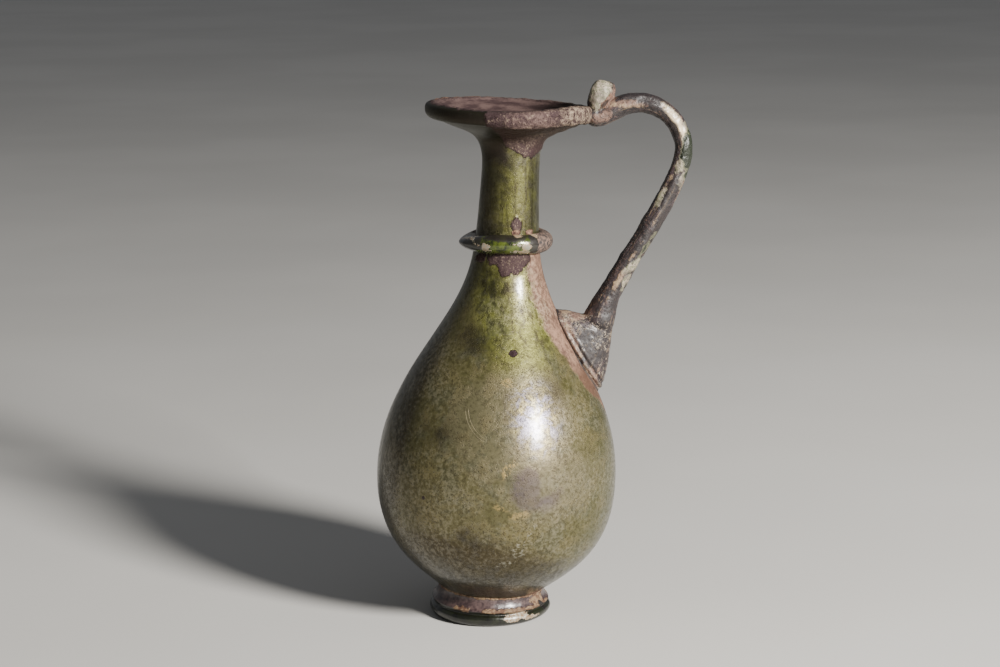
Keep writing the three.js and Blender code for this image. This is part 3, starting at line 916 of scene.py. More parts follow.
@dataclass(frozen=True)
class TrailFinish:
    """Thick green glass of the neck ring under silver and cream flakes."""

    green: str = "4C571B"
    deep: str = "151B0E"
    silver: str = "858173"
    cream: str = "8F7A60"
    grey: str = "241F1E"
    tan: str = "6C574B"

    def material(self) -> bpy.types.Material:
        """Builds the material."""
        bench = Bench("green_trail_glass")
        middle = bench.noise(4, 5, 0.6)
        fine = bench.noise(1.2, 4, 0.65)
        silver_depth = bench.depth(Layer.SILVER, 1.1, 1.8)
        silver = silver_depth.rise(-0.08, 0.08)
        crust = bench.patch(Layer.CRUST, 1.0, 3, 0.25)
        dark = bench.patch(Layer.DARK, 1.0, 3, 0.35)
        earth = bench.patch(Layer.EARTH, 0.8, 2.4, 0.2)
        colour = bench.tint(middle.rise(0.4, 0.62), self.deep, self.green)
        colour = bench.tint(dark * 0.9, colour, self.grey)
        colour = bench.tint(dark * middle.rise(0.42, 0.3) * 0.8, colour, self.deep)
        flaked = bench.tint(fine.rise(0.4, 0.6), self.cream, self.silver)
        flaked = bench.tint(middle.rise(0.46, 0.36) * 0.5, flaked, self.green)
        colour = bench.tint(silver * 0.95, colour, flaked)
        crusted = bench.tint(fine.rise(0.4, 0.62), self.grey, self.tan)
        colour = bench.tint(crust, colour, crusted)
        colour = bench.tint(earth, colour, self.cream)
        height = (middle * 0.15 + silver * (0.14 + fine * 0.06) + crust * (0.2 + fine * 0.35)
                  + earth * (0.25 + fine * 0.45))
        rough = 0.24 + crust * 0.45 + silver * 0.1 + dark * 0.12 + earth * 0.5
        glass = bench.surface(
            Base_Color=colour, Roughness=rough, Metallic=0.3 - crust * 0.3, Normal=bench.bump(height),
            IOR=1.5, Transmission_Weight=0.1, Coat_Weight=0.5 - crust * 0.5, Coat_Roughness=0.14)
        return bench.finish(glass)


@dataclass(frozen=True)
class FootFinish:
    """Dark glass of the foot ring under a purple-brown skin, with cream along its ridge."""

    skin: str = "2C2122"
    skin_light: str = "4E3F3D"
    bead: str = "0B0B08"
    moss: str = "171A0D"
    cream: str = "766149"
    orange: str = "4B3222"
    silver: str = "9A9284"
    chip: str = "120C0A"

    def material(self) -> bpy.types.Material:
        """Builds the material."""
        bench = Bench("dark_foot_glass")
        middle = bench.noise(4.5, 5, 0.6)
        fine = bench.noise(1.1, 4, 0.65)
        stain = bench.patch(Layer.STAIN, 0.35, 3, 0.15)
        pale_depth = bench.depth(Layer.PALE, 0.7, 2.4)
        pale = pale_depth.rise(-0.08, 0.08)
        silver = bench.patch(Layer.SILVER, 1.0, 2.6, 0.08)
        dark = bench.patch(Layer.DARK, 0.8, 2.2, 0.12)
        colour = bench.tint((middle * 0.6 + fine * 0.4).rise(0.42, 0.6), self.bead, self.moss)
        skin = bench.tint((middle * 0.5 + fine * 0.5).rise(0.42, 0.6), self.skin, self.skin_light)
        colour = bench.tint(stain, colour, skin)
        flakes = bench.tint(fine.rise(0.42, 0.6), self.cream, self.silver)
        colour = bench.tint(silver, colour, flakes)
        crust = bench.tint((fine * 0.6 + middle * 0.4).rise(0.42, 0.58), self.orange, self.cream)
        colour = bench.tint(pale, colour, crust)
        colour = bench.tint(dark, colour, self.chip)
        height = (middle * 0.2 + stain * 0.12 + pale * (0.25 + fine * 0.3) + silver * (0.16 + fine * 0.1)
                  - dark * 0.4)
        rough = 0.3 + pale * 0.42 + (fine - 0.5) * 0.16 + stain * 0.06
        glass = bench.surface(
            Base_Color=colour, Roughness=rough, Normal=bench.bump(height), IOR=1.5,
            Coat_Weight=0.3 - pale * 0.3, Coat_Roughness=0.16)
        return bench.finish(glass)


@dataclass(frozen=True)
class HandleFinish:
    """Dark glass of the handle, almost hidden by purple-brown, mauve and cream crusts, with painted
    highlights on the bend.
    """

    mauve: str = "392D2F"
    mauve_dark: str = "1B1516"
    cream: str = "907B5F"
    pink: str = "70574B"
    chalk: str = "9A8E7D"
    # Colour of the painted highlight over the pale crust on the bend.
    painted_glint: str = "CBB795"
    celadon: str = "74735A"
    bottle: str = "1A1F14"
    pit: str = "150F0F"
    orange: str = "5E3C25"

    def material(self) -> bpy.types.Material:
        """Builds the material."""
        bench = Bench("crusted_handle_glass")
        rod = bench.node("ShaderNodeAttribute", {"attribute_name": Layer.ROD.value}).outputs["Vector"]
        middle = bench.noise(5, 5, 0.62)
        fine = bench.noise(1.3, 5, 0.68)
        grit = bench.noise(0.6, 3, 0.6)
        drawn = bench.noise(1.5, 4, 0.6, stretch=(1, 1, 12), place=rod)
        lines = bench.noise(1.1, 3, 0.55, 0.6, stretch=(1, 1, 16), place=rod)
        bare_depth = bench.depth(Layer.BARE, 0.8, 3)
        bare = bare_depth.rise(-0.08, 0.08)
        pale_depth = bench.depth(Layer.PALE, 1.1, 3.2) - 0.35
        pale = pale_depth.rise(-0.4, 0.5)
        bloom = bench.patch(Layer.BLOOM, 0.9, 3, 0.4)
        stain = bench.patch(Layer.STAIN, 1.4, 3.5, 0.5)
        dark = bench.patch(Layer.DARK, 1.2, 3.5, 0.5)
        earth = bench.patch(Layer.EARTH, 0.7, 2, 0.2)
        colour = bench.tint((middle * 0.5 + drawn * 0.5).rise(0.42, 0.64), self.mauve_dark, self.mauve)
        colour = bench.tint(fine.rise(0.52, 0.68) * 0.5, colour, self.pink)
        colour = bench.tint(lines.rise(0.58, 0.66) * 0.45, colour, self.cream)
        colour = bench.tint(dark * 0.8, colour, self.mauve_dark)
        colour = bench.tint(stain * (0.35 + fine.rise(0.35, 0.55) * 0.5), colour, self.pink)
        creamed = bench.tint((middle * 0.4 + fine * 0.6).rise(0.4, 0.58), self.pink, self.cream)
        colour = bench.tint(pale * 0.85, colour, creamed)
        colour = bench.tint(bloom * 0.85, colour, bench.tint(fine.rise(0.4, 0.6), self.celadon, self.chalk))
        colour = bench.tint(bloom * (middle + drawn * 0.6).rise(0.78, 0.66) * 0.6, colour, self.mauve)
        # Painted highlight over the pale crust on the bend, with more coat there.
        painted_glint = bench.patch(Layer.SILVER, 0.5, 2.4, 0.7)
        colour = bench.tint(painted_glint * (0.5 + fine * 0.6), colour, self.painted_glint)
        above_wall = bench.layer(Layer.WALL)
        seam = (above_wall - 1.5 + (middle - 0.5) * 3).size().rise(1.1, 0.5) * fine.rise(0.4, 0.54)
        seam = seam * bench.layer(Layer.INSIDE).rise(3, 9) * middle.rise(0.4, 0.5)
        colour = bench.tint(seam * 0.8, colour, self.chalk)
        wandering = bench.noise(8, 4, 0.6, 1.4)
        vein = (wandering - 0.5).size().rise(0.016, 0.004) * bench.layer(Layer.INSIDE).rise(-1, 1)
        vein = vein * middle.rise(0.46, 0.56)
        colour = bench.tint(vein * 0.85, colour, self.chalk)
        flecks = fine.rise(0.56, 0.64) * bench.layer(Layer.INSIDE).rise(-3, 1) * middle.rise(0.44, 0.6)
        colour = bench.tint(flecks * 0.8, colour, self.chalk)
        pits = grit.rise(0.42, 0.34) * middle.rise(0.38, 0.56)
        colour = bench.tint(pits * 0.8, colour, self.pit)
        colour = bench.tint(earth, colour, bench.tint(fine.rise(0.4, 0.6), self.orange, self.pink))
        crevice = bench.patch(Layer.CREVICE, 0.3, 1.5, 0.3).most(above_wall.rise(0.7, 0.2))
        colour = bench.tint(crevice * 0.85, colour, self.pit)
        colour = bench.tint(bare, colour, self.bottle)
        colour = bench.tint(bare_depth.size().rise(0.4, 0.1) * 0.5, colour, self.celadon)
        height = (middle * 0.25 + drawn * 0.16 + fine * 0.14 + pale * 0.12 + bloom * 0.14
                  + vein * 0.12 - bare * 0.3 - pits * 0.22 + earth * (0.2 + fine * 0.4))
        low = bench.layer(Layer.INSIDE).rise(-2, 2)
        rough = 0.42 + low * 0.08 + fine * 0.2 + pale * 0.1 + bloom * 0.06 - bare * 0.14 + earth * 0.3
        glass = bench.surface(
            Base_Color=colour, Roughness=rough, Normal=bench.bump(height), IOR=1.5,
            Coat_Weight=(0.14 + painted_glint * 0.3 - earth * 0.1) * (1 - bare * 0.7), Coat_Roughness=0.24)
        return bench.finish(glass)


@dataclass(frozen=True)
class FloorFinish:
    """Plain pale paper."""

    light: str = "BFBDB9"
    deep: str = "B9B7B3"

    def material(self) -> bpy.types.Material:
        """Builds the material."""
        bench = Bench("pale_floor")
        broad = bench.noise(400, 3)
        colour = bench.tint(broad.rise(0.35, 0.65), self.deep, self.light)
        return bench.finish(bench.surface(Base_Color=colour, Roughness=0.85 + (broad - 0.5) * 0.1))


@dataclass
class Vessel:
    """The blown vessel: body, neck and funnel mouth as one hollow wall."""

    shape: VesselShape
    turning: Turning
    finish: BodyFinish = field(default_factory=BodyFinish)
    segments: int = 290
    rows: tuple[int, int, int, int] = (52, 84, 42, 34)
    lip_rows: int = 22
    turned_in_rows: int = 4
    inner_rows: int = 58
    centre_rows: int = 10
    wobble: float = 0.28
    crust_rise: float = 0.25
    rim_arc: float = 30
    throat_arc: float = 16
    stain_span: tuple[float, float] = (76, 150)
    collar_span: tuple[float, float] = (120, 147)
    rim_crust: tuple[float, float] = (-106, 26)
    rim_behind: tuple[float, float] = (60, 150)
    rim_start: tuple[float, float] = (193.6, 29.4)
    bare_side: float = -252
    bare_start: tuple[float, float] = (193.9, 29.7)
    # Painted shade on the left of the funnel's underside: its lowest height and its sides.
    funnel_shade_low: float = 179
    funnel_shade_sides: tuple[float, float] = (-250, -96)
    funnel_top: float = 198
    lip_crest: tuple[float, float] = (199, 28.6)
    # Painted shadow of the lip on the funnel's underside: its lowest height at a side, its slope, its top
    # and its last side.
    shade_start: tuple[float, float] = (186.0, -102)
    shade_slope: float = 0.093
    shade_top: float = 206
    shade_end: float = -18
    lip_earth_start: tuple[float, float] = (195, 29.0)
    lip_earth_sides: tuple[float, float] = (112, 166)
    stain_heights: tuple[float, ...] = (78, 86, 95, 111, 120, 135, 142, 150)
    stain_widths: tuple[float, ...] = (-4, 7, 25, 40, 48, 50, 50, 50)
    funnel_sides: tuple[float, ...] = (-111, -106, -100, -85, -64, -48, -33, -27, 0, 30, 70, 120, 150, 180)
    funnel_edge: tuple[float, ...] = (
        210, 196, 185.5, 183.8, 182, 181.6, 182.4, 183, 184, 183, 183, 186, 194, 199)
    green: tuple[Blot, ...] = (Blot(126, -74, 17, 24), Blot(162, -68, 9, 26))
    brown: tuple[Blot, ...] = (Blot(70, -164, 17, 44), Blot(28, -112, 40, 13), Blot(60, 40, 26, 30),
                               Blot(48, 110, 30, 20), Blot(100, 150, 14, 26))
    patches: tuple[Blot, ...] = (Blot(61.5, -76, 6.6, 8.6), Blot(57, -67, 8, 3.4, 20),
                                 Blot(74, 100, 9, 6), Blot(40, 30, 6, 9))
    blooms: tuple[Blot, ...] = (Blot(37.5, -78.5, 2.4, 3.0, 60), Blot(43, -73.6, 0.8, 3.6, -25),
                                Blot(66, 60, 3, 4), Blot(31.6, -82.6, 2.8, 1.0, 25))
    tans: tuple[Blot, ...] = (Blot(51.8, -80, 4.6, 1.3, 10), Blot(54.6, -89, 3.6, 1.0, -20),
                              Blot(68, -86.4, 1.3, 4.8, -25), Blot(71.4, -82.8, 2.2, 1.1),
                              Blot(99.5, -86, 2.2, 1.6), Blot(58, 34, 4, 2), Blot(84, 128, 3, 2))
    # Dark mottling, with painted shade on the neck's left side (166.7, -116 and 162, -150) and towards the
    # bottom (14, -90).
    darks: tuple[Blot, ...] = (Blot(14, -90, 90, 15), Blot(166.7, -116, 2.6, 4.6), Blot(162, -150, 12, 32),
                               Blot(134, -108, 6, 7), Blot(162, -28, 9, 30), Blot(178, -84, 12, 5),
                               Blot(146, -140, 6, 8), Blot(135, -52, 1.6, 4), Blot(96, -60, 6, 4),
                               Blot(79, -122, 4, 3), Blot(112, -112, 7, 5), Blot(40, -104, 6, 4),
                               Blot(76, 30, 9, 6), Blot(100, 80, 8, 7))
    collar_crust: tuple[Blot, ...] = (
        Blot(143.2, -84, 8.2, 3.2), Blot(140.4, -92, 3.3, 4.0), Blot(140.9, -74, 3.3, 3.4),
        Blot(141.9, -62, 2.4, 2.2), Blot(142.4, -112, 3.4, 2.0, 20), Blot(142.2, -140, 3.0, 1.8))
    neck_flake: Blot = Blot(155.8, -74, 1.9, 3.3)
    collar_earth: tuple[Blot, ...] = (
        Blot(152.9, -47, 1.9, 1.3), Blot(152.8, -76, 1.7, 1.1), Blot(152.8, 60, 6, 1.3))
    low_earth: Blot = Blot(12, -20, 12, 1.2)
    hazes: tuple[Blot, ...] = (Blot(82, -84, 26, 20), Blot(64, -62, 18, 16), Blot(70, 60, 24, 18))

    def build(self) -> bpy.types.Object:
        """Turns the profile, then adds the unevenness, the layers and the finish."""
        profile, crest = self._profile()
        piece = self.turning.turn("jug_vessel", profile, self.segments, self.finish.material(self.shape))
        mesh = piece.data
        rows = np.empty(len(mesh.vertices), np.int32)
        mesh.attributes[Turning.ROW].data.foreach_get("value", rows)
        mesh.attributes.remove(mesh.attributes[Turning.ROW])
        within = np.where(rows > crest, 1.0, -1.0)
        self._shape_wall(mesh, within)
        return piece

    def _profile(self) -> tuple[np.ndarray, int]:
        """Gives the whole closed profile and the row of its highest place."""
        shape = self.shape
        walls = [even(wall[:, :2], count) for wall, count in zip(shape.walls(), self.rows)]
        lip = even(shape.lip(shape.lip_start, shape.lip_top, 120), self.lip_rows)
        turned_in = shape.lip(shape.lip_top, shape.lip_end, self.turned_in_rows)
        inner = even(shape.inner_side()[::-1], self.inner_rows)
        steps = np.linspace(0, 1, self.centre_rows)[:, None]
        quarter = steps * math.pi / 2
        first_radius, first_height = walls[0][0]
        last_radius, last_height = inner[-1]
        kick_height = shape.base_height + shape.base_kick
        under_heights = kick_height + (first_height - kick_height) * (1 - np.cos(quarter))
        under = np.concatenate([steps * first_radius, under_heights], axis=1)
        floor_height = kick_height + shape.base_wall
        floor_heights = last_height + (floor_height - last_height) * np.sin(quarter)
        floor = np.concatenate([last_radius * (1 - steps), floor_heights], axis=1)
        outside = chain(under, *walls, lip)
        return chain(outside, turned_in, inner, floor), len(outside) - 1

    def _shape_wall(self, mesh: bpy.types.Mesh, within: np.ndarray) -> None:
        """Moves the wall as the glass was blown and crusted, keeps its layers and stands it up."""
        shape = self.shape
        points = points_of(mesh)
        normals = normals_of(mesh)
        radii = np.hypot(points[:, 0], points[:, 1])
        heights = points[:, 2]
        layers = self._layers(radii, heights, sides_of(points), within)
        uneven = cloud(points, 34, 3, 2) * self.wobble - self.wobble * 0.5
        uneven *= smooth_step(heights, 8, 30) * np.where(within > 0, 0.3, 1.0)
        lumps = cloud(points, 3.2, 8, 4)
        crusted = smooth_step(np.maximum(layers[Layer.CRUST], layers[Layer.RIM]), -0.6, 0.6)
        rise = crusted * (self.crust_rise + 0.3 * lumps)
        points = points + normals * (uneven + rise)[:, None]
        for layer, depths in layers.items():
            keep_layer(mesh, layer, depths)
        points = shape.stand(shape.shape_mouth(points))
        put_points(mesh, inside_box(points, shape.limits))

    def _layers(self, radii: np.ndarray, heights: np.ndarray, sides: np.ndarray,
                within: np.ndarray) -> dict[Layer, np.ndarray]:
        """Gives each layer's depth at the points of the wall.

        Args:
            radii: How far each point lies from the axis, in millimetres.
            heights: How high it lies, in millimetres.
            sides: The side that it lies on, in degrees from the handle.
            within: 1 on the inside of the wall and -1 on its outside.

        Returns:
            The value of each layer. Most are depths in millimetres, but INSIDE is within itself and
            ROUND is an angle in steps of ten degrees.
        """
        def blots(patches: Sequence[Blot]) -> np.ndarray:
            """Joins patches."""
            return deepest(patches, heights, sides, radii)

        def only(depths: np.ndarray, lowest: float, highest: float) -> np.ndarray:
            """Keeps a layer between two heights."""
            return np.minimum(depths, np.minimum(heights - lowest, highest - heights))

        def on_rim(depths: np.ndarray, height: float, radius: float) -> np.ndarray:
            """Keeps a layer above a height and outside a radius of the mouth."""
            return np.minimum(depths, np.minimum(heights - height, (radii - radius) * 1.5))

        def outer(depths: np.ndarray) -> np.ndarray:
            """Keeps a layer on the outside of the wall."""
            return np.where(within > 0, OUTSIDE, depths)

        widths = np.interp(heights, self.stain_heights, self.stain_widths)
        stain = only(np.radians(widths - np.abs(sides)) * np.maximum(radii, 8), *self.stain_span)
        under_ring = only(blots(self.collar_crust), *self.collar_span)
        first, last = self.rim_crust
        rim = np.maximum(between(sides, first, last, self.rim_arc),
                         between(sides, *self.rim_behind, self.rim_arc))
        rim = on_rim(rim, *self.rim_start)
        bare = on_rim(between(sides, self.bare_side, first, self.rim_arc) + 2, *self.bare_start)
        # Painted shade on the left of the funnel's underside, joined to the bare glass of the rim.
        painted_funnel_shade = np.minimum(heights - self.funnel_shade_low,
                                between(sides, *self.funnel_shade_sides, self.throat_arc))
        bare = np.maximum(bare, painted_funnel_shade)
        funnel_edge = np.interp(sides, self.funnel_sides, self.funnel_edge)
        funnel = np.minimum(heights - funnel_edge, self.funnel_top - heights)
        # Painted shadow of the lip on the funnel's underside, above a line that rises towards the handle.
        shade_height, shade_side = self.shade_start
        under_lip = np.minimum(heights - shade_height - (sides - shade_side) * self.shade_slope,
                               self.shade_top - heights)
        under_lip = np.minimum(under_lip, wrapped(self.shade_end - sides) * 0.3)
        crust = np.max([under_ring, funnel * 0.8, blots((self.neck_flake,))], axis=0)
        crust, rim, bare = outer(crust), outer(rim), outer(bare)
        crest_height, crest_radius = self.lip_crest
        lip_top = np.minimum(1.5 - np.abs(radii - crest_radius), heights - crest_height)
        rim = np.maximum(rim, lip_top - 0.3)
        earth_height, earth_radius = self.lip_earth_start
        first, last = self.lip_earth_sides
        lip_sides = np.minimum(wrapped(sides - first), wrapped(last - sides)) * 0.5
        lip_earth = np.minimum(0.55 - np.abs(radii - earth_radius), lip_sides)
        earth = np.max([
            blots(self.collar_earth),
            np.where(heights > earth_height, lip_earth, OUTSIDE),
            np.where(within < 0, blots((self.low_earth,)), OUTSIDE)], axis=0)
        return {
            Layer.INSIDE: within,
            Layer.STAIN: outer(stain),
            Layer.CRUST: crust,
            Layer.RIM: rim,
            Layer.BARE: bare,
            Layer.EARTH: earth,
            Layer.HAZE: blots(self.hazes),
            Layer.GREEN: blots(self.green),
            Layer.BROWN: blots(self.brown),
            Layer.PATCH: blots(self.patches),
            Layer.BLOOM: blots(self.blooms),
            Layer.SILVER: blots(self.tans),
            # DARK holds dark mottling and painted shade: the lip's shadow, the neck's left side and the
            # bottom.
            Layer.DARK: np.maximum(blots(self.darks), under_lip),
            Layer.ROUND: wrapped(sides + 70) / 10,
        }


def loft(loops: Sequence[np.ndarray], ring: bool) -> tuple[np.ndarray, list[tuple[int, ...]]]:
    """Joins loops of points into a closed skin.

    Args:
        loops: Loops with equally many points.
        ring: Whether the last loop meets the first. The ends are filled if not.

    Returns:
        The points and the faces.
    """
    count = len(loops[0])
    faces: list[tuple[int, ...]] = []
    for i in range(len(loops) if ring else len(loops) - 1):
        here, there = i * count, (i + 1) % len(loops) * count
        for j in range(count):
            k = (j + 1) % count
            faces.append((here + j, here + k, there + k, there + j))
    if not ring:
        last = (len(loops) - 1) * count
        faces.append(tuple(range(count)))
        faces.append(tuple(last + j for j in reversed(range(count))))
    return np.concatenate(loops), faces


@dataclass
class NeckRing:
    """The trail of hot glass wound once round the foot of the neck."""

    shape: VesselShape
    finish: TrailFinish = field(default_factory=TrailFinish)
    rise: float = 6.6
    height: float = 7.8
    reach: float = 4.1
    swell: float = 0.35
    seam_reach: float = 1.3
    seam_drop: float = 1.7
    seam_pinch: float = 0.32
    seam_width: float = 52
    bury: float = 0.6
    segments: int = 300
    sides: int = 36
    arc_radius: float = 17
    edge_sides: tuple[float, float] = (-47, 40)
    behind_sides: tuple[float, float] = (70, 160)
    silvers: tuple[Blot, ...] = (
        Blot(-1.6, -118, 1.7, 1.5), Blot(-0.4, -65, 2.1, 2.0), Blot(-2.6, -70, 3.0, 0.7),
        Blot(0.6, -76, 1.8, 0.7), Blot(-2.2, 52, 5, 2), Blot(2.0, -146, 2.6, 0.45, -30),
        Blot(1.0, -158, 4, 0.4, 12), Blot(1.5, 170, 4, 1.2))
    darks: tuple[Blot, ...] = (Blot(1, -52, 2.6, 4.4), Blot(0.5, -160, 11, 5), Blot(3.2, -98, 11, 2.2),
                               Blot(0, 120, 9, 4))
    earths: tuple[Blot, ...] = (Blot(3.9, -46, 1.7, 0.8), Blot(3.7, -76, 1.6, 0.7), Blot(3.6, 60, 7, 1.3))

    def build(self) -> bpy.types.Object:
        """Lofts the trail, keeps its layers and stands it up."""
        shape = self.shape
        inner = shape.throat_radius - shape.neck_wall / 2 + self.bury
        angles = np.arange(self.segments) / self.segments * FULL_TURN
        turns = np.arange(self.sides) / self.sides * FULL_TURN
        loops = []
        for angle in angles:
            seam = math.exp(-(abs(angle - math.pi) / math.radians(self.seam_width)) ** 2)
            outer = (shape.neck_foot_radius + self.reach + self.swell * math.sin(2 * angle + 0.6)
                     + self.seam_reach * seam)
            half = self.height / 2 * (1 - self.seam_pinch * seam)
            middle = shape.neck_foot_height + self.rise - self.seam_drop * seam
            radius = (inner + outer) / 2 + (outer - inner) / 2 * np.cos(turns)
            level = middle + half * np.sin(turns) * (1 - 0.12 * np.cos(turns))
            loops.append(np.stack([radius * math.cos(angle), radius * math.sin(angle), level], axis=1))
        points, faces = loft(loops, True)
        piece = new_object("jug_neck_ring", points * MM, faces)
        piece.data.materials.append(self.finish.material())
        mesh = settle(piece)
        self._shape_trail(mesh)
        return piece

    def _shape_trail(self, mesh: bpy.types.Mesh) -> None:
        """Adds the unevenness of the trail, keeps its layers and stands it up."""
        points = points_of(mesh)
        normals = normals_of(mesh)
        sides = sides_of(points)
        heights = points[:, 2] - (self.shape.neck_foot_height + self.rise)
        edge = between(sides, *self.edge_sides, self.arc_radius)
        behind = between(sides, *self.behind_sides, self.arc_radius)
        keep_layer(mesh, Layer.CRUST, np.maximum(edge, behind * 0.7))
        blots = {Layer.SILVER: self.silvers, Layer.DARK: self.darks, Layer.EARTH: self.earths}
        for layer, patches in blots.items():
            keep_layer(mesh, layer, deepest(patches, heights, sides, self.arc_radius))
        uneven = cloud(points, 9, 21, 3) * 0.22 - 0.12
        points = points + normals * uneven[:, None]
        put_points(mesh, inside_box(self.shape.stand(points), self.shape.limits))


@dataclass
class FootRing:
    """The coiled foot that the vessel stands on."""

    shape: VesselShape
    turning: Turning
    finish: FootFinish = field(default_factory=FootFinish)
    contact_inner: float = 17.5
    contact_outer: float = 21
    bead_radius: float = 23.8
    bead_height: float = 4.6
    ridge_radius: float = 23
    ridge_height: float = 6.3
    grip: float = 5.6
    tuck: float = 0.5
    sunk: float = 0.6
    segments: int = 280
    ridge_arc: float = 23
    outer_arc: float = 23.5
    ridge_parts: tuple[tuple[float, float], ...] = ((-128, -111), (-99, -10), (8, 50), (75, 120), (140, 170))
    right_end: Blot = Blot(8.6, -30, 5, 2.2)
    silvers: tuple[Blot, ...] = (
        Blot(3.6, -66, 4.6, 1.7), Blot(3.9, -56, 3.4, 1.4), Blot(2.6, -50, 4, 0.8), Blot(3.4, 40, 4, 1.5),
        Blot(3.2, 130, 6, 1.2))
    darks: tuple[Blot, ...] = (Blot(6.4, -29, 1.8, 1.3), Blot(4.6, -24, 1.2, 2.2), Blot(6.5, 100, 2, 1))

    def build(self) -> bpy.types.Object:
        """Turns the foot, keeps its layers and follows the leaning body with its upper edge."""
        piece = self.turning.turn("jug_foot_ring", self._profile(), self.segments, self.finish.material())
        self._shape_foot(piece.data)
        return piece

    def _profile(self) -> np.ndarray:
        """Gives the closed section, from the table up the outside, in along the body and down again."""
        shape = self.shape
        top_height = shape.base_height + self.grip
        top_radius = float(shape.radius_at(top_height)) - self.tuck
        bead = even(bezier((self.contact_outer, 0), (self.bead_radius + 0.9, 0.1 * self.bead_height),
                           (self.bead_radius + 0.6, 0.9 * self.bead_height),
                           (self.ridge_radius - 0.55, self.bead_height), 60), 22)
        groove = np.array([[self.ridge_radius - 0.5, self.bead_height + 0.25],
                           [self.ridge_radius - 0.2, self.bead_height + 0.7],
                           [self.ridge_radius + 0.05, self.ridge_height - 0.5]])
        band = even(bezier((self.ridge_radius, self.ridge_height),
                           (self.ridge_radius - 1.2, self.ridge_height + 1),
                           (top_radius, top_height - 3.4), (top_radius, top_height), 60), 20)
        wall = shape.outside()
        low = wall[(wall[:, 1] < top_height - 0.2)][::-1, :2] + np.array([-self.sunk, self.sunk * 0.6])
        hollow = np.array([[shape.base_radius - 0.8, shape.base_height + 0.2],
                           [self.contact_inner - 1.2, shape.base_height / 2],
                           [self.contact_inner - 0.5, 0.7], [self.contact_inner, 0]])
        flat = np.array([[19.2, 0]])
        start = np.array([[self.contact_outer, 0]])
        return chain(bead, even(groove, 5), band, even(low, 12), even(hollow, 10), flat, start)

    def _shape_foot(self, mesh: bpy.types.Mesh) -> None:
        """Adds unevenness, keeps the layers and moves the foot to its place."""
        points = points_of(mesh)
        normals = normals_of(mesh)
        heights = points[:, 2]
        sides = sides_of(points)
        keep_layer(mesh, Layer.STAIN, heights - self.ridge_height + 0.4)
        ridge = 0.85 - np.abs(heights - self.ridge_height + 0.1)
        broken = np.max([between(sides, *part, self.ridge_arc) for part in self.ridge_parts], axis=0)
        right_end = self.right_end.depth(heights, sides, self.ridge_arc)
        seam = np.minimum(heights - self.ridge_height - 4.2, wrapped(-12 - sides) * 0.1)
        keep_layer(mesh, Layer.PALE, np.max([np.minimum(ridge, broken), right_end, seam], axis=0))
        keep_layer(mesh, Layer.SILVER, deepest(self.silvers, heights, sides, self.outer_arc))
        keep_layer(mesh, Layer.DARK, deepest(self.darks, heights, sides, self.outer_arc))
        uneven = cloud(points, 7, 31, 3) * 0.2 - 0.12
        uneven *= smooth_step(heights, 0.3, 1.5)
        points = points + normals * uneven[:, None]
        share = smooth_step(points[:, 2], 0, self.shape.base_height + self.grip)
        put_points(mesh, inside_box(self.shape.stand(points, share), self.shape.limits))


@dataclass(frozen=True)
class Mark:
    """A patch on the handle, seen from its side: its middle, half its length and width, and its turn.

    It lies on the camera's side of the handle only, unless both is set.
    """

    x: float
    z: float
    half_length: float
    half_width: float
    turn: float = 90
    both: bool = False

    def depth(self, points: np.ndarray) -> np.ndarray:
        """Gives how deep inside the patch each point lies, in millimetres."""
        cos, sin = math.cos(math.radians(self.turn)), math.sin(math.radians(self.turn))
        dx, dz = points[:, 0] - self.x, points[:, 2] - self.z
        along = dx * cos + dz * sin
        over = -dx * sin + dz * cos
        depth = (1 - np.hypot(along / self.half_length, over / self.half_width)) * self.half_width
        return depth if self.both else np.minimum(depth, 1.2 - points[:, 1])


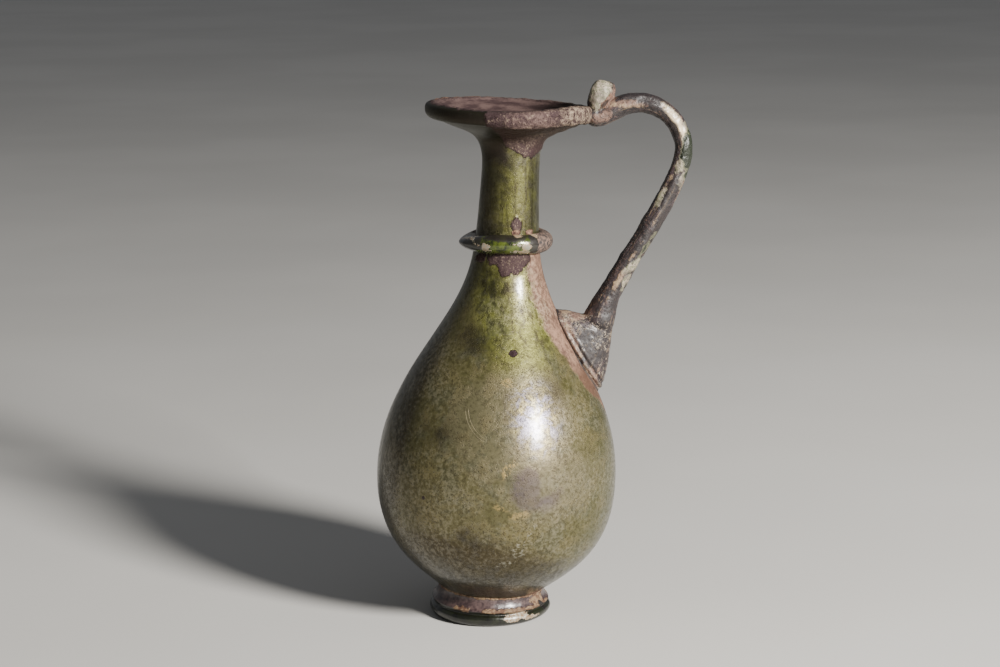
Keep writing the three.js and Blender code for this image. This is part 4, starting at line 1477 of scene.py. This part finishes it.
@dataclass
class Handle:
    """The rod handle: its root on the shoulder, the drawn rod, the bend and the folded thumb-rest."""

    shape: VesselShape
    finish: HandleFinish = field(default_factory=HandleFinish)
    root_drop: float = 20
    root_length: float = 31.5
    root_half_width: float = 9.6
    root_proud: float = 22.4
    root_folds: float = 0.3
    ledge_slope: float = 0.14
    lean_out: float = 71
    reach: float = 65.4
    arch_width: float = 17.4
    arch_drop: float = 17.6
    arch_rise: float = 3.1
    thickness: float = 8.6
    root_flare: float = 5
    root_flare_length: float = 19
    fold_reach: float = 3.3
    fold_under: float = 3
    fold_drop: float = 2.5
    fold_height: float = 14.1
    fold_lean: float = 75
    fold_strand: float = 7.2
    fold_head: float = 8.6
    fold_neck: float = 6
    fold_depth: float = 7.4
    fold_back_strand: float = 5.1
    fold_back_depth: float = 6
    rod_thicknesses: tuple[float, ...] = (8.8, 8.8, 7.9, 7.9, 7.1, 7.1, 8.1, 8.1)
    rod_depths: tuple[float, ...] = (8.6, 8.6, 8.6, 7.6, 7.6, 7.6, 8.6)
    strand_sides: int = 28
    root_sides: int = 40
    root_steps: int = 44
    voxel: float = 0.34
    sunk: float = 0.8
    wall_top: float = 150
    root_end: float = 121
    bare: tuple[Mark, ...] = (Mark(67.5, 185.8, 8.0, 3.2, 91, True), Mark(65.2, 184.0, 1.8, 1.2, 20),
                              Mark(67.6, 177.0, 3.4, 1.0, 75), Mark(52.6, 147.5, 4, 0.7, 60, True))
    pale: tuple[Mark, ...] = (
        Mark(59.2, 200.2, 5.0, 1.1, -42), Mark(63.4, 194.2, 4.6, 1.1, -64), Mark(43.0, 202.2, 6.5, 1.1, 0),
        Mark(51.8, 151.0, 9, 0.3, 62), Mark(48.4, 145.6, 7, 0.3, 60), Mark(60.6, 174.5, 4.5, 0.5, 66),
        Mark(42.8, 134.4, 7.5, 1.3, 62), Mark(38.8, 127.0, 5, 0.8, 60), Mark(23.4, 122.4, 3.0, 2.2, 10),
        Mark(28.6, 120.0, 3.0, 0.9, 12), Mark(24.4, 116.6, 5.5, 0.9, -66), Mark(29.2, 107.6, 5.0, 0.8, -62),
        Mark(33.0, 98.8, 8, 0.9, -58), Mark(36.4, 97.4, 4.5, 0.5, 70), Mark(40.4, 106, 7, 0.4, 80))
    # Blooms of weathering; the marks at (59.6, 200.8) and (65.0, 191.5) are painted highlights on the bend.
    bloom: tuple[Mark, ...] = (
        Mark(59.6, 200.8, 3.2, 1.0, -40), Mark(48.2, 140.6, 4.6, 1.7, 42), Mark(32.5, 206.8, 6.8, 4.0, 76),
        Mark(65.0, 191.5, 4.5, 0.8, 84),
        Mark(64.4, 180.4, 3.4, 2.0, 60), Mark(65.6, 175.0, 3.0, 1.1, 70), Mark(57.4, 168.4, 4.4, 1.2, 70),
        Mark(46.2, 134.4, 3.2, 1.1, 70))
    stain: tuple[Mark, ...] = (
        Mark(36.8, 204.6, 4.5, 1.6, 70, True), Mark(33.8, 197.2, 3.4, 2.2, 20, True),
        Mark(25.2, 114, 7, 2.6, -66), Mark(34.6, 96.5, 6, 2.4, -66), Mark(42.4, 202.6, 6, 1.1, 0, True),
        Mark(29, 121, 4, 1.6, 10))
    dark: tuple[Mark, ...] = (
        Mark(48, 206.4, 16, 3.0, -2, True), Mark(58, 158, 9, 2.4, 64), Mark(52.4, 203.4, 6, 3.2, -8, True),
        Mark(44, 198.9, 8, 1.2, 2, True), Mark(66.4, 195.4, 6.5, 1.4, -62, True),
        Mark(60.6, 190.4, 6.0, 1.6, 66), Mark(61.4, 170, 8, 2.6, 66, True), Mark(50.0, 146, 8, 2.2, 62),
        Mark(42.0, 130.0, 5, 2.0, 60), Mark(34.6, 109, 7.5, 6.4, -66), Mark(39.4, 121.0, 7, 2.4, 62),
        Mark(39.6, 112.4, 6, 2.6, 80))
    # Painted highlights over the pale crust on the bend.
    painted_glints: tuple[Mark, ...] = (Mark(60.6, 198.8, 5.0, 1.3, -46), Mark(64.4, 193.4, 4.6, 1.0, -66))
    earth: tuple[Mark, ...] = (Mark(35.0, 203.2, 4.2, 1.1, 52, True),)
    crevices: tuple[Mark, ...] = (Mark(34.4, 202.4, 2.4, 0.7, 48, True),)

    @property
    def arch_height(self) -> float:
        """Height of the rod's centre line over the rim."""
        return self.shape.rim_height + self.arch_rise

    @property
    def bend_height(self) -> float:
        """Height of the widest bend."""
        return self.arch_height - self.arch_drop

    @property
    def root_top(self) -> float:
        """Height of the ledge on the root."""
        return self.shape.neck_foot_height - self.root_drop

    @property
    def fold_start(self) -> tuple[float, float]:
        """Place where the rod dips onto the rim."""
        return (self.shape.mouth_radius + self.shape.mouth_shift + self.fold_reach,
                self.shape.rim_height - self.fold_drop)

    def centre_line(self) -> np.ndarray:
        """Gives the rod's centre line as x and height, from inside the root to the rim."""
        start = np.array([float(self.shape.radius_at(self.root_top)) + self.root_proud - self.thickness / 2,
                          self.root_top + 2])
        out = np.array([math.cos(math.radians(self.lean_out)), math.sin(math.radians(self.lean_out))])
        bend = np.array([self.reach, self.bend_height])
        top = np.array([self.reach - self.arch_width, self.arch_height])
        rim = np.array(self.fold_start)
        riser = self.bend_height - start[1]
        line = [np.linspace(start - out * self.root_length / 3, start, 30),
                bezier(start, start + out * 0.26 * riser,
                       (self.reach, self.bend_height - 0.22 * riser), bend, 90),
                bezier(bend, (self.reach, self.bend_height + 0.42 * self.arch_drop),
                       (top[0] + 0.66 * self.arch_width, self.arch_height), top, 70),
                bezier(top, (top[0] - 0.5 * (top[0] - rim[0]), self.arch_height),
                       (rim[0] + 4.2, rim[1] + 1), rim, 50),
                bezier(rim, (rim[0] - self.fold_under * 0.67, rim[1] - 0.93),
                       (rim[0] - self.fold_under, rim[1] + 0.4), (rim[0] - self.fold_under, rim[1] + 4), 20)]
        return even(chain(*line), 300)

    def _strand(self, line: np.ndarray, thicknesses: Sequence[float], depths: Sequence[float],
                flare: float = 0) -> tuple[np.ndarray, list[tuple[int, ...]]]:
        """Lofts a drawn rod with round ends.

        Args:
            line: Centre line of x, side and height.
            thicknesses: Thickness in the handle's plane, at even steps.
            depths: Thickness across the handle's plane, at even steps.
            flare: How much thicker it is at its start.

        Returns:
            The points and the faces.
        """
        count = len(line)
        shares = np.linspace(0, 1, count)
        reach = reach_of(line)
        across = np.array([0.0, 1.0, 0.0])
        normal = np.cross(slope_of(line), across)
        normal /= np.linalg.norm(normal, axis=1)[:, None]
        widening = flare * (1 - smooth_step(reach, 0, self.root_flare_length))
        thick = np.interp(shares, np.linspace(0, 1, len(thicknesses)), thicknesses) / 2 + widening / 2
        deep = np.interp(shares, np.linspace(0, 1, len(depths)), depths) / 2 + widening / 2
        blunt = np.clip(1 - np.minimum(reach, reach[-1] - reach) / thick, 0, 0.985)
        round_end = np.sqrt(1 - blunt * blunt)
        turns = np.arange(self.strand_sides) / self.strand_sides * FULL_TURN
        loops = [line[i] + normal[i] * (round_end[i] * thick[i] * np.cos(turns))[:, None]
                 + across * (round_end[i] * deep[i] * np.sin(turns))[:, None] for i in range(count)]
        return loft(loops, False)

    def _fold_lines(self) -> tuple[np.ndarray, np.ndarray]:
        """Gives the centre lines of the thumb-rest's front and back strands."""
        start = self.fold_start
        up = (math.cos(math.radians(self.fold_lean)), math.sin(math.radians(self.fold_lean)))
        side = self.fold_depth / 5

        def place(rise: float, step: float, y: float) -> tuple[float, float, float]:
            """Gives a place by its rise along the fold and its step across it."""
            rise_mm, step_mm = rise * self.fold_height, step * self.fold_strand
            return (start[0] + up[0] * rise_mm + up[1] * step_mm, y,
                    start[1] + up[1] * rise_mm - up[0] * step_mm)

        front = [place(0.04, 0.21, 0), place(0.13, -0.22, 0), place(0.37, -0.4, -side),
                 place(0.65, -0.34, -side), place(0.95, -0.22, -0.5 * side)]
        back = [place(0.95, -0.14, 0.3 * side), place(0.73, 0.02, side), place(0.5, 0.11, side),
                place(0.27, 0.27, side / 2)]
        return self._through(front, 46), self._through(back, 34)

    @staticmethod
    def _through(places: Sequence[Sequence[float]], count: int) -> np.ndarray:
        """Runs a smooth line through places."""
        stops = np.array(places)
        stops = np.concatenate([[2 * stops[0] - stops[1]], stops, [2 * stops[-1] - stops[-2]]])
        line = []
        for i in range(1, len(stops) - 2):
            line.append(bezier(stops[i], stops[i] + (stops[i + 1] - stops[i - 1]) / 6,
                               stops[i + 1] - (stops[i + 2] - stops[i]) / 6, stops[i + 1], 24))
        return even(chain(*line), count)

    def _root(self) -> tuple[np.ndarray, list[tuple[int, ...]]]:
        """Lofts the drop of glass that was pressed on the shoulder."""
        loops = []
        turns = np.arange(self.root_sides) / self.root_sides * FULL_TURN
        forward = np.cos(turns)
        for share in np.arange(self.root_steps + 1) / self.root_steps:
            height = self.root_top - self.root_length * (1 - share)
            surface = float(self.shape.radius_at(height))
            fullness = math.sin(math.pi / 2 * min((0.04 + share) / 0.6, 1)) ** 0.75
            top_round = math.sqrt(max(1 - (max(share - 0.82, 0) / 0.2) ** 2, 0.04))
            half_width = self.root_half_width * fullness * (1 - 0.3 * share * share) * top_round
            outer = surface + max(self.root_proud * share ** 0.85, 0.4)
            inner = surface - 6 * top_round
            centre = (outer + inner) / 2 - 0.2 * (outer - inner)
            x = centre + np.where(forward > 0, outer - centre, centre - inner) * forward
            rise = (surface - x) * self.ledge_slope * share
            loops.append(np.stack([x, half_width * np.sin(turns), height + rise], axis=1))
        return loft(loops, False)

    def build(self) -> bpy.types.Object:
        """Melts the strands and the root into one skin, then adds relief, layers and finish."""
        line = self.centre_line()
        rod = self._strand(np.stack([line[:, 0], np.zeros(len(line)), line[:, 1]], axis=1),
                           self.rod_thicknesses, self.rod_depths, self.root_flare)
        front_line, back_line = self._fold_lines()
        front = self._strand(front_line, (self.fold_neck, self.fold_strand, self.fold_head, self.fold_head),
                             (self.fold_depth,) * 2)
        back = self._strand(back_line, (self.fold_back_strand,) * 2, (self.fold_back_depth,) * 2)
        points: list[np.ndarray] = []
        faces: list[tuple[int, ...]] = []
        for part_points, part_faces in (rod, self._root(), front, back):
            offset = sum(len(p) for p in points)
            points.append(part_points)
            faces += [tuple(index + offset for index in face) for face in part_faces]
        piece = new_object("jug_handle", np.concatenate(points) * MM, faces)
        face_out(piece.data)
        melt = piece.modifiers.new("melted", "REMESH")
        melt.mode = "VOXEL"
        melt.voxel_size = self.voxel * MM
        calm = piece.modifiers.new("calmed", "SMOOTH")
        calm.factor = 0.5
        calm.iterations = 5
        mesh = settle(piece)
        mesh.materials.append(self.finish.material())
        self._shape_skin(mesh, line)
        return piece

    def _shape_skin(self, mesh: bpy.types.Mesh, line: np.ndarray) -> None:
        """Adds relief, keeps the layers and sets the root into the vessel's wall."""
        points = points_of(mesh)
        normals = normals_of(mesh)
        flat = points[:, [0, 2]]
        nearest = np.empty(len(points), int)
        for start in range(0, len(points), CHUNK):
            part = flat[start:start + CHUNK]
            nearest[start:start + CHUNK] = np.argmin(
                ((part[:, None, :] - line[None, :, :]) ** 2).sum(axis=2), axis=1)
        slope, reach = slope_of(line), reach_of(line)
        away = flat - line[nearest]
        side_step = away[:, 0] * slope[nearest, 1] - away[:, 1] * slope[nearest, 0]
        along = reach[nearest] + (away * slope[nearest]).sum(axis=1)
        rod = np.stack([side_step, points[:, 1], along], axis=1) * MM
        keep_vector(mesh, Layer.ROD, rod)
        # On the handle the SILVER layer holds the painted highlights of the bend.
        for layer, marks in ((Layer.BARE, self.bare), (Layer.PALE, self.pale), (Layer.BLOOM, self.bloom),
                             (Layer.STAIN, self.stain), (Layer.DARK, self.dark), (Layer.EARTH, self.earth),
                             (Layer.CREVICE, self.crevices), (Layer.SILVER, self.painted_glints)):
            keep_layer(mesh, layer, np.max([mark.depth(points) for mark in marks], axis=0))
        keep_layer(mesh, Layer.INSIDE, self.root_end - points[:, 2])
        surface = self.shape.radius_at(points[:, 2])
        radii = np.hypot(points[:, 0], points[:, 1])
        keep_layer(mesh, Layer.WALL, np.where(points[:, 2] < self.wall_top, radii - surface, LAYER_LIMIT))
        angles = np.arctan2(points[:, 1], side_step)
        ribs = (np.sin(angles * 5 + along * 0.03 + 0.8) + 0.6 * np.sin(angles * 8 - along * 0.05)) * 0.1
        ribs *= smooth_step(along, 20, 45)
        above = radii - surface
        folds = np.sin(above * 2.4 + points[:, 2] * 0.1) * self.root_folds
        folds *= smooth_step(-above, -5.5, -2.5) * smooth_step(-points[:, 2], -119, -112)
        uneven = cloud(points, 6, 41, 3) * 0.26 + cloud(points, 1.8, 43, 3) * 0.12 - 0.16
        points = points + normals * (uneven + ribs + folds)[:, None]
        surface = self.shape.radius_at(points[:, 2])
        radii = np.hypot(points[:, 0], points[:, 1])
        wall = surface - self.sunk
        push = np.where((points[:, 2] < self.wall_top) & (radii < wall), wall / np.maximum(radii, 1), 1)
        points[:, :2] *= push[:, None]
        put_points(mesh, inside_box(self.shape.stand(points), self.shape.limits))


@dataclass
class Studio:
    """The camera where the photograph was taken from, plain lights and a pale floor."""

    camera_place: tuple[float, float, float] = (-12.69, -850, 282)
    camera_pitch: float = 11.35
    camera_roll: float = 0.5
    focal_pixels: float = 2240.3
    key_side: float = 45
    key_height: float = 24
    key_away: float = 1.5
    key_size: float = 0.34
    key_power: float = 84
    key_colour: tuple[float, float, float] = (1.0, 0.97, 0.92)
    aim: tuple[float, float, float] = (-0.008, 0, 0.1)
    world_light: float = 0.19
    world_colour: tuple[float, float, float, float] = (0.92, 0.95, 1.0, 1)
    view_end: float = 60
    floor_span: float = 40

    def camera(self) -> None:
        """Makes the camera and gives it to the scene."""
        data = bpy.data.cameras.new("photo_camera")
        data.sensor_width = SENSOR_WIDTH
        data.lens = self.focal_pixels * data.sensor_width / IMAGE_WIDTH
        data.clip_end = self.view_end
        camera = bpy.data.objects.new("photo_camera", data)
        turn = Matrix.Rotation(math.radians(90 - self.camera_pitch), 4, "X")
        roll = Matrix.Rotation(math.radians(-self.camera_roll), 4, "Z")
        place = Matrix.Translation(Vector(self.camera_place) * MM)
        camera.matrix_world = place @ turn @ roll
        bpy.context.scene.collection.objects.link(camera)
        bpy.context.scene.camera = camera

    def lights(self) -> None:
        """Makes the key light at the right front and the even light of the room."""
        side, height = math.radians(self.key_side), math.radians(self.key_height)
        way = Vector((math.sin(side) * math.cos(height), -math.cos(side) * math.cos(height),
                      math.sin(height)))
        data = bpy.data.lights.new("key", "AREA")
        data.shape = "DISK"
        data.size = self.key_size
        data.energy = self.key_power
        data.color = self.key_colour
        key = bpy.data.objects.new("key", data)
        key.location = Vector(self.aim) + way * self.key_away
        key.rotation_euler = way.to_track_quat("Z", "Y").to_euler()
        bpy.context.scene.collection.objects.link(key)
        world = bpy.data.worlds.new("room")
        world.use_nodes = True
        sky = world.node_tree.nodes["Background"]
        sky.inputs["Color"].default_value = self.world_colour
        sky.inputs["Strength"].default_value = self.world_light
        bpy.context.scene.world = world

    def floor(self) -> None:
        """Makes the pale floor."""
        half = self.floor_span / 2
        points = np.array([(-half, -half, 0), (half, -half, 0), (half, half, 0), (-half, half, 0)])
        floor = new_object("studio_floor", points, [(0, 1, 2, 3)])
        floor.data.materials.append(FloorFinish().material())
        floor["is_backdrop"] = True


def register(piece: bpy.types.Object, node: Node) -> None:
    """Lets a finished piece ride on the body and stand for its solid, which is hidden."""
    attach(piece, BODY)
    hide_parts(node.value)
    triangles = sum(len(face.vertices) - 2 for face in piece.data.polygons)
    LOG.info("%s: %d points, %d triangles", piece.name, len(piece.data.vertices), triangles)


def main() -> None:
    """Builds the studio and the jug's pieces in order."""
    logging.basicConfig(level=logging.INFO, format="%(message)s", force=True)
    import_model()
    frame_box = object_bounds()
    studio = Studio()
    studio.camera()
    studio.lights()
    studio.floor()
    foot_low, foot_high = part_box(Node.FOOT_RING.value)
    shape = VesselShape(stand_x=(foot_low.x + foot_high.x) / 2 / MM, limits=frame_box)
    turning = Turning()
    vessel = Vessel(shape, turning).build()
    ring = NeckRing(shape).build()
    foot = FootRing(shape, turning).build()
    handle = Handle(shape).build()
    register(vessel, Node.VESSEL)
    register(ring, Node.NECK_RING)
    register(foot, Node.FOOT_RING)
    register(handle, Node.HANDLE)


if __name__ == "__main__":
    main()
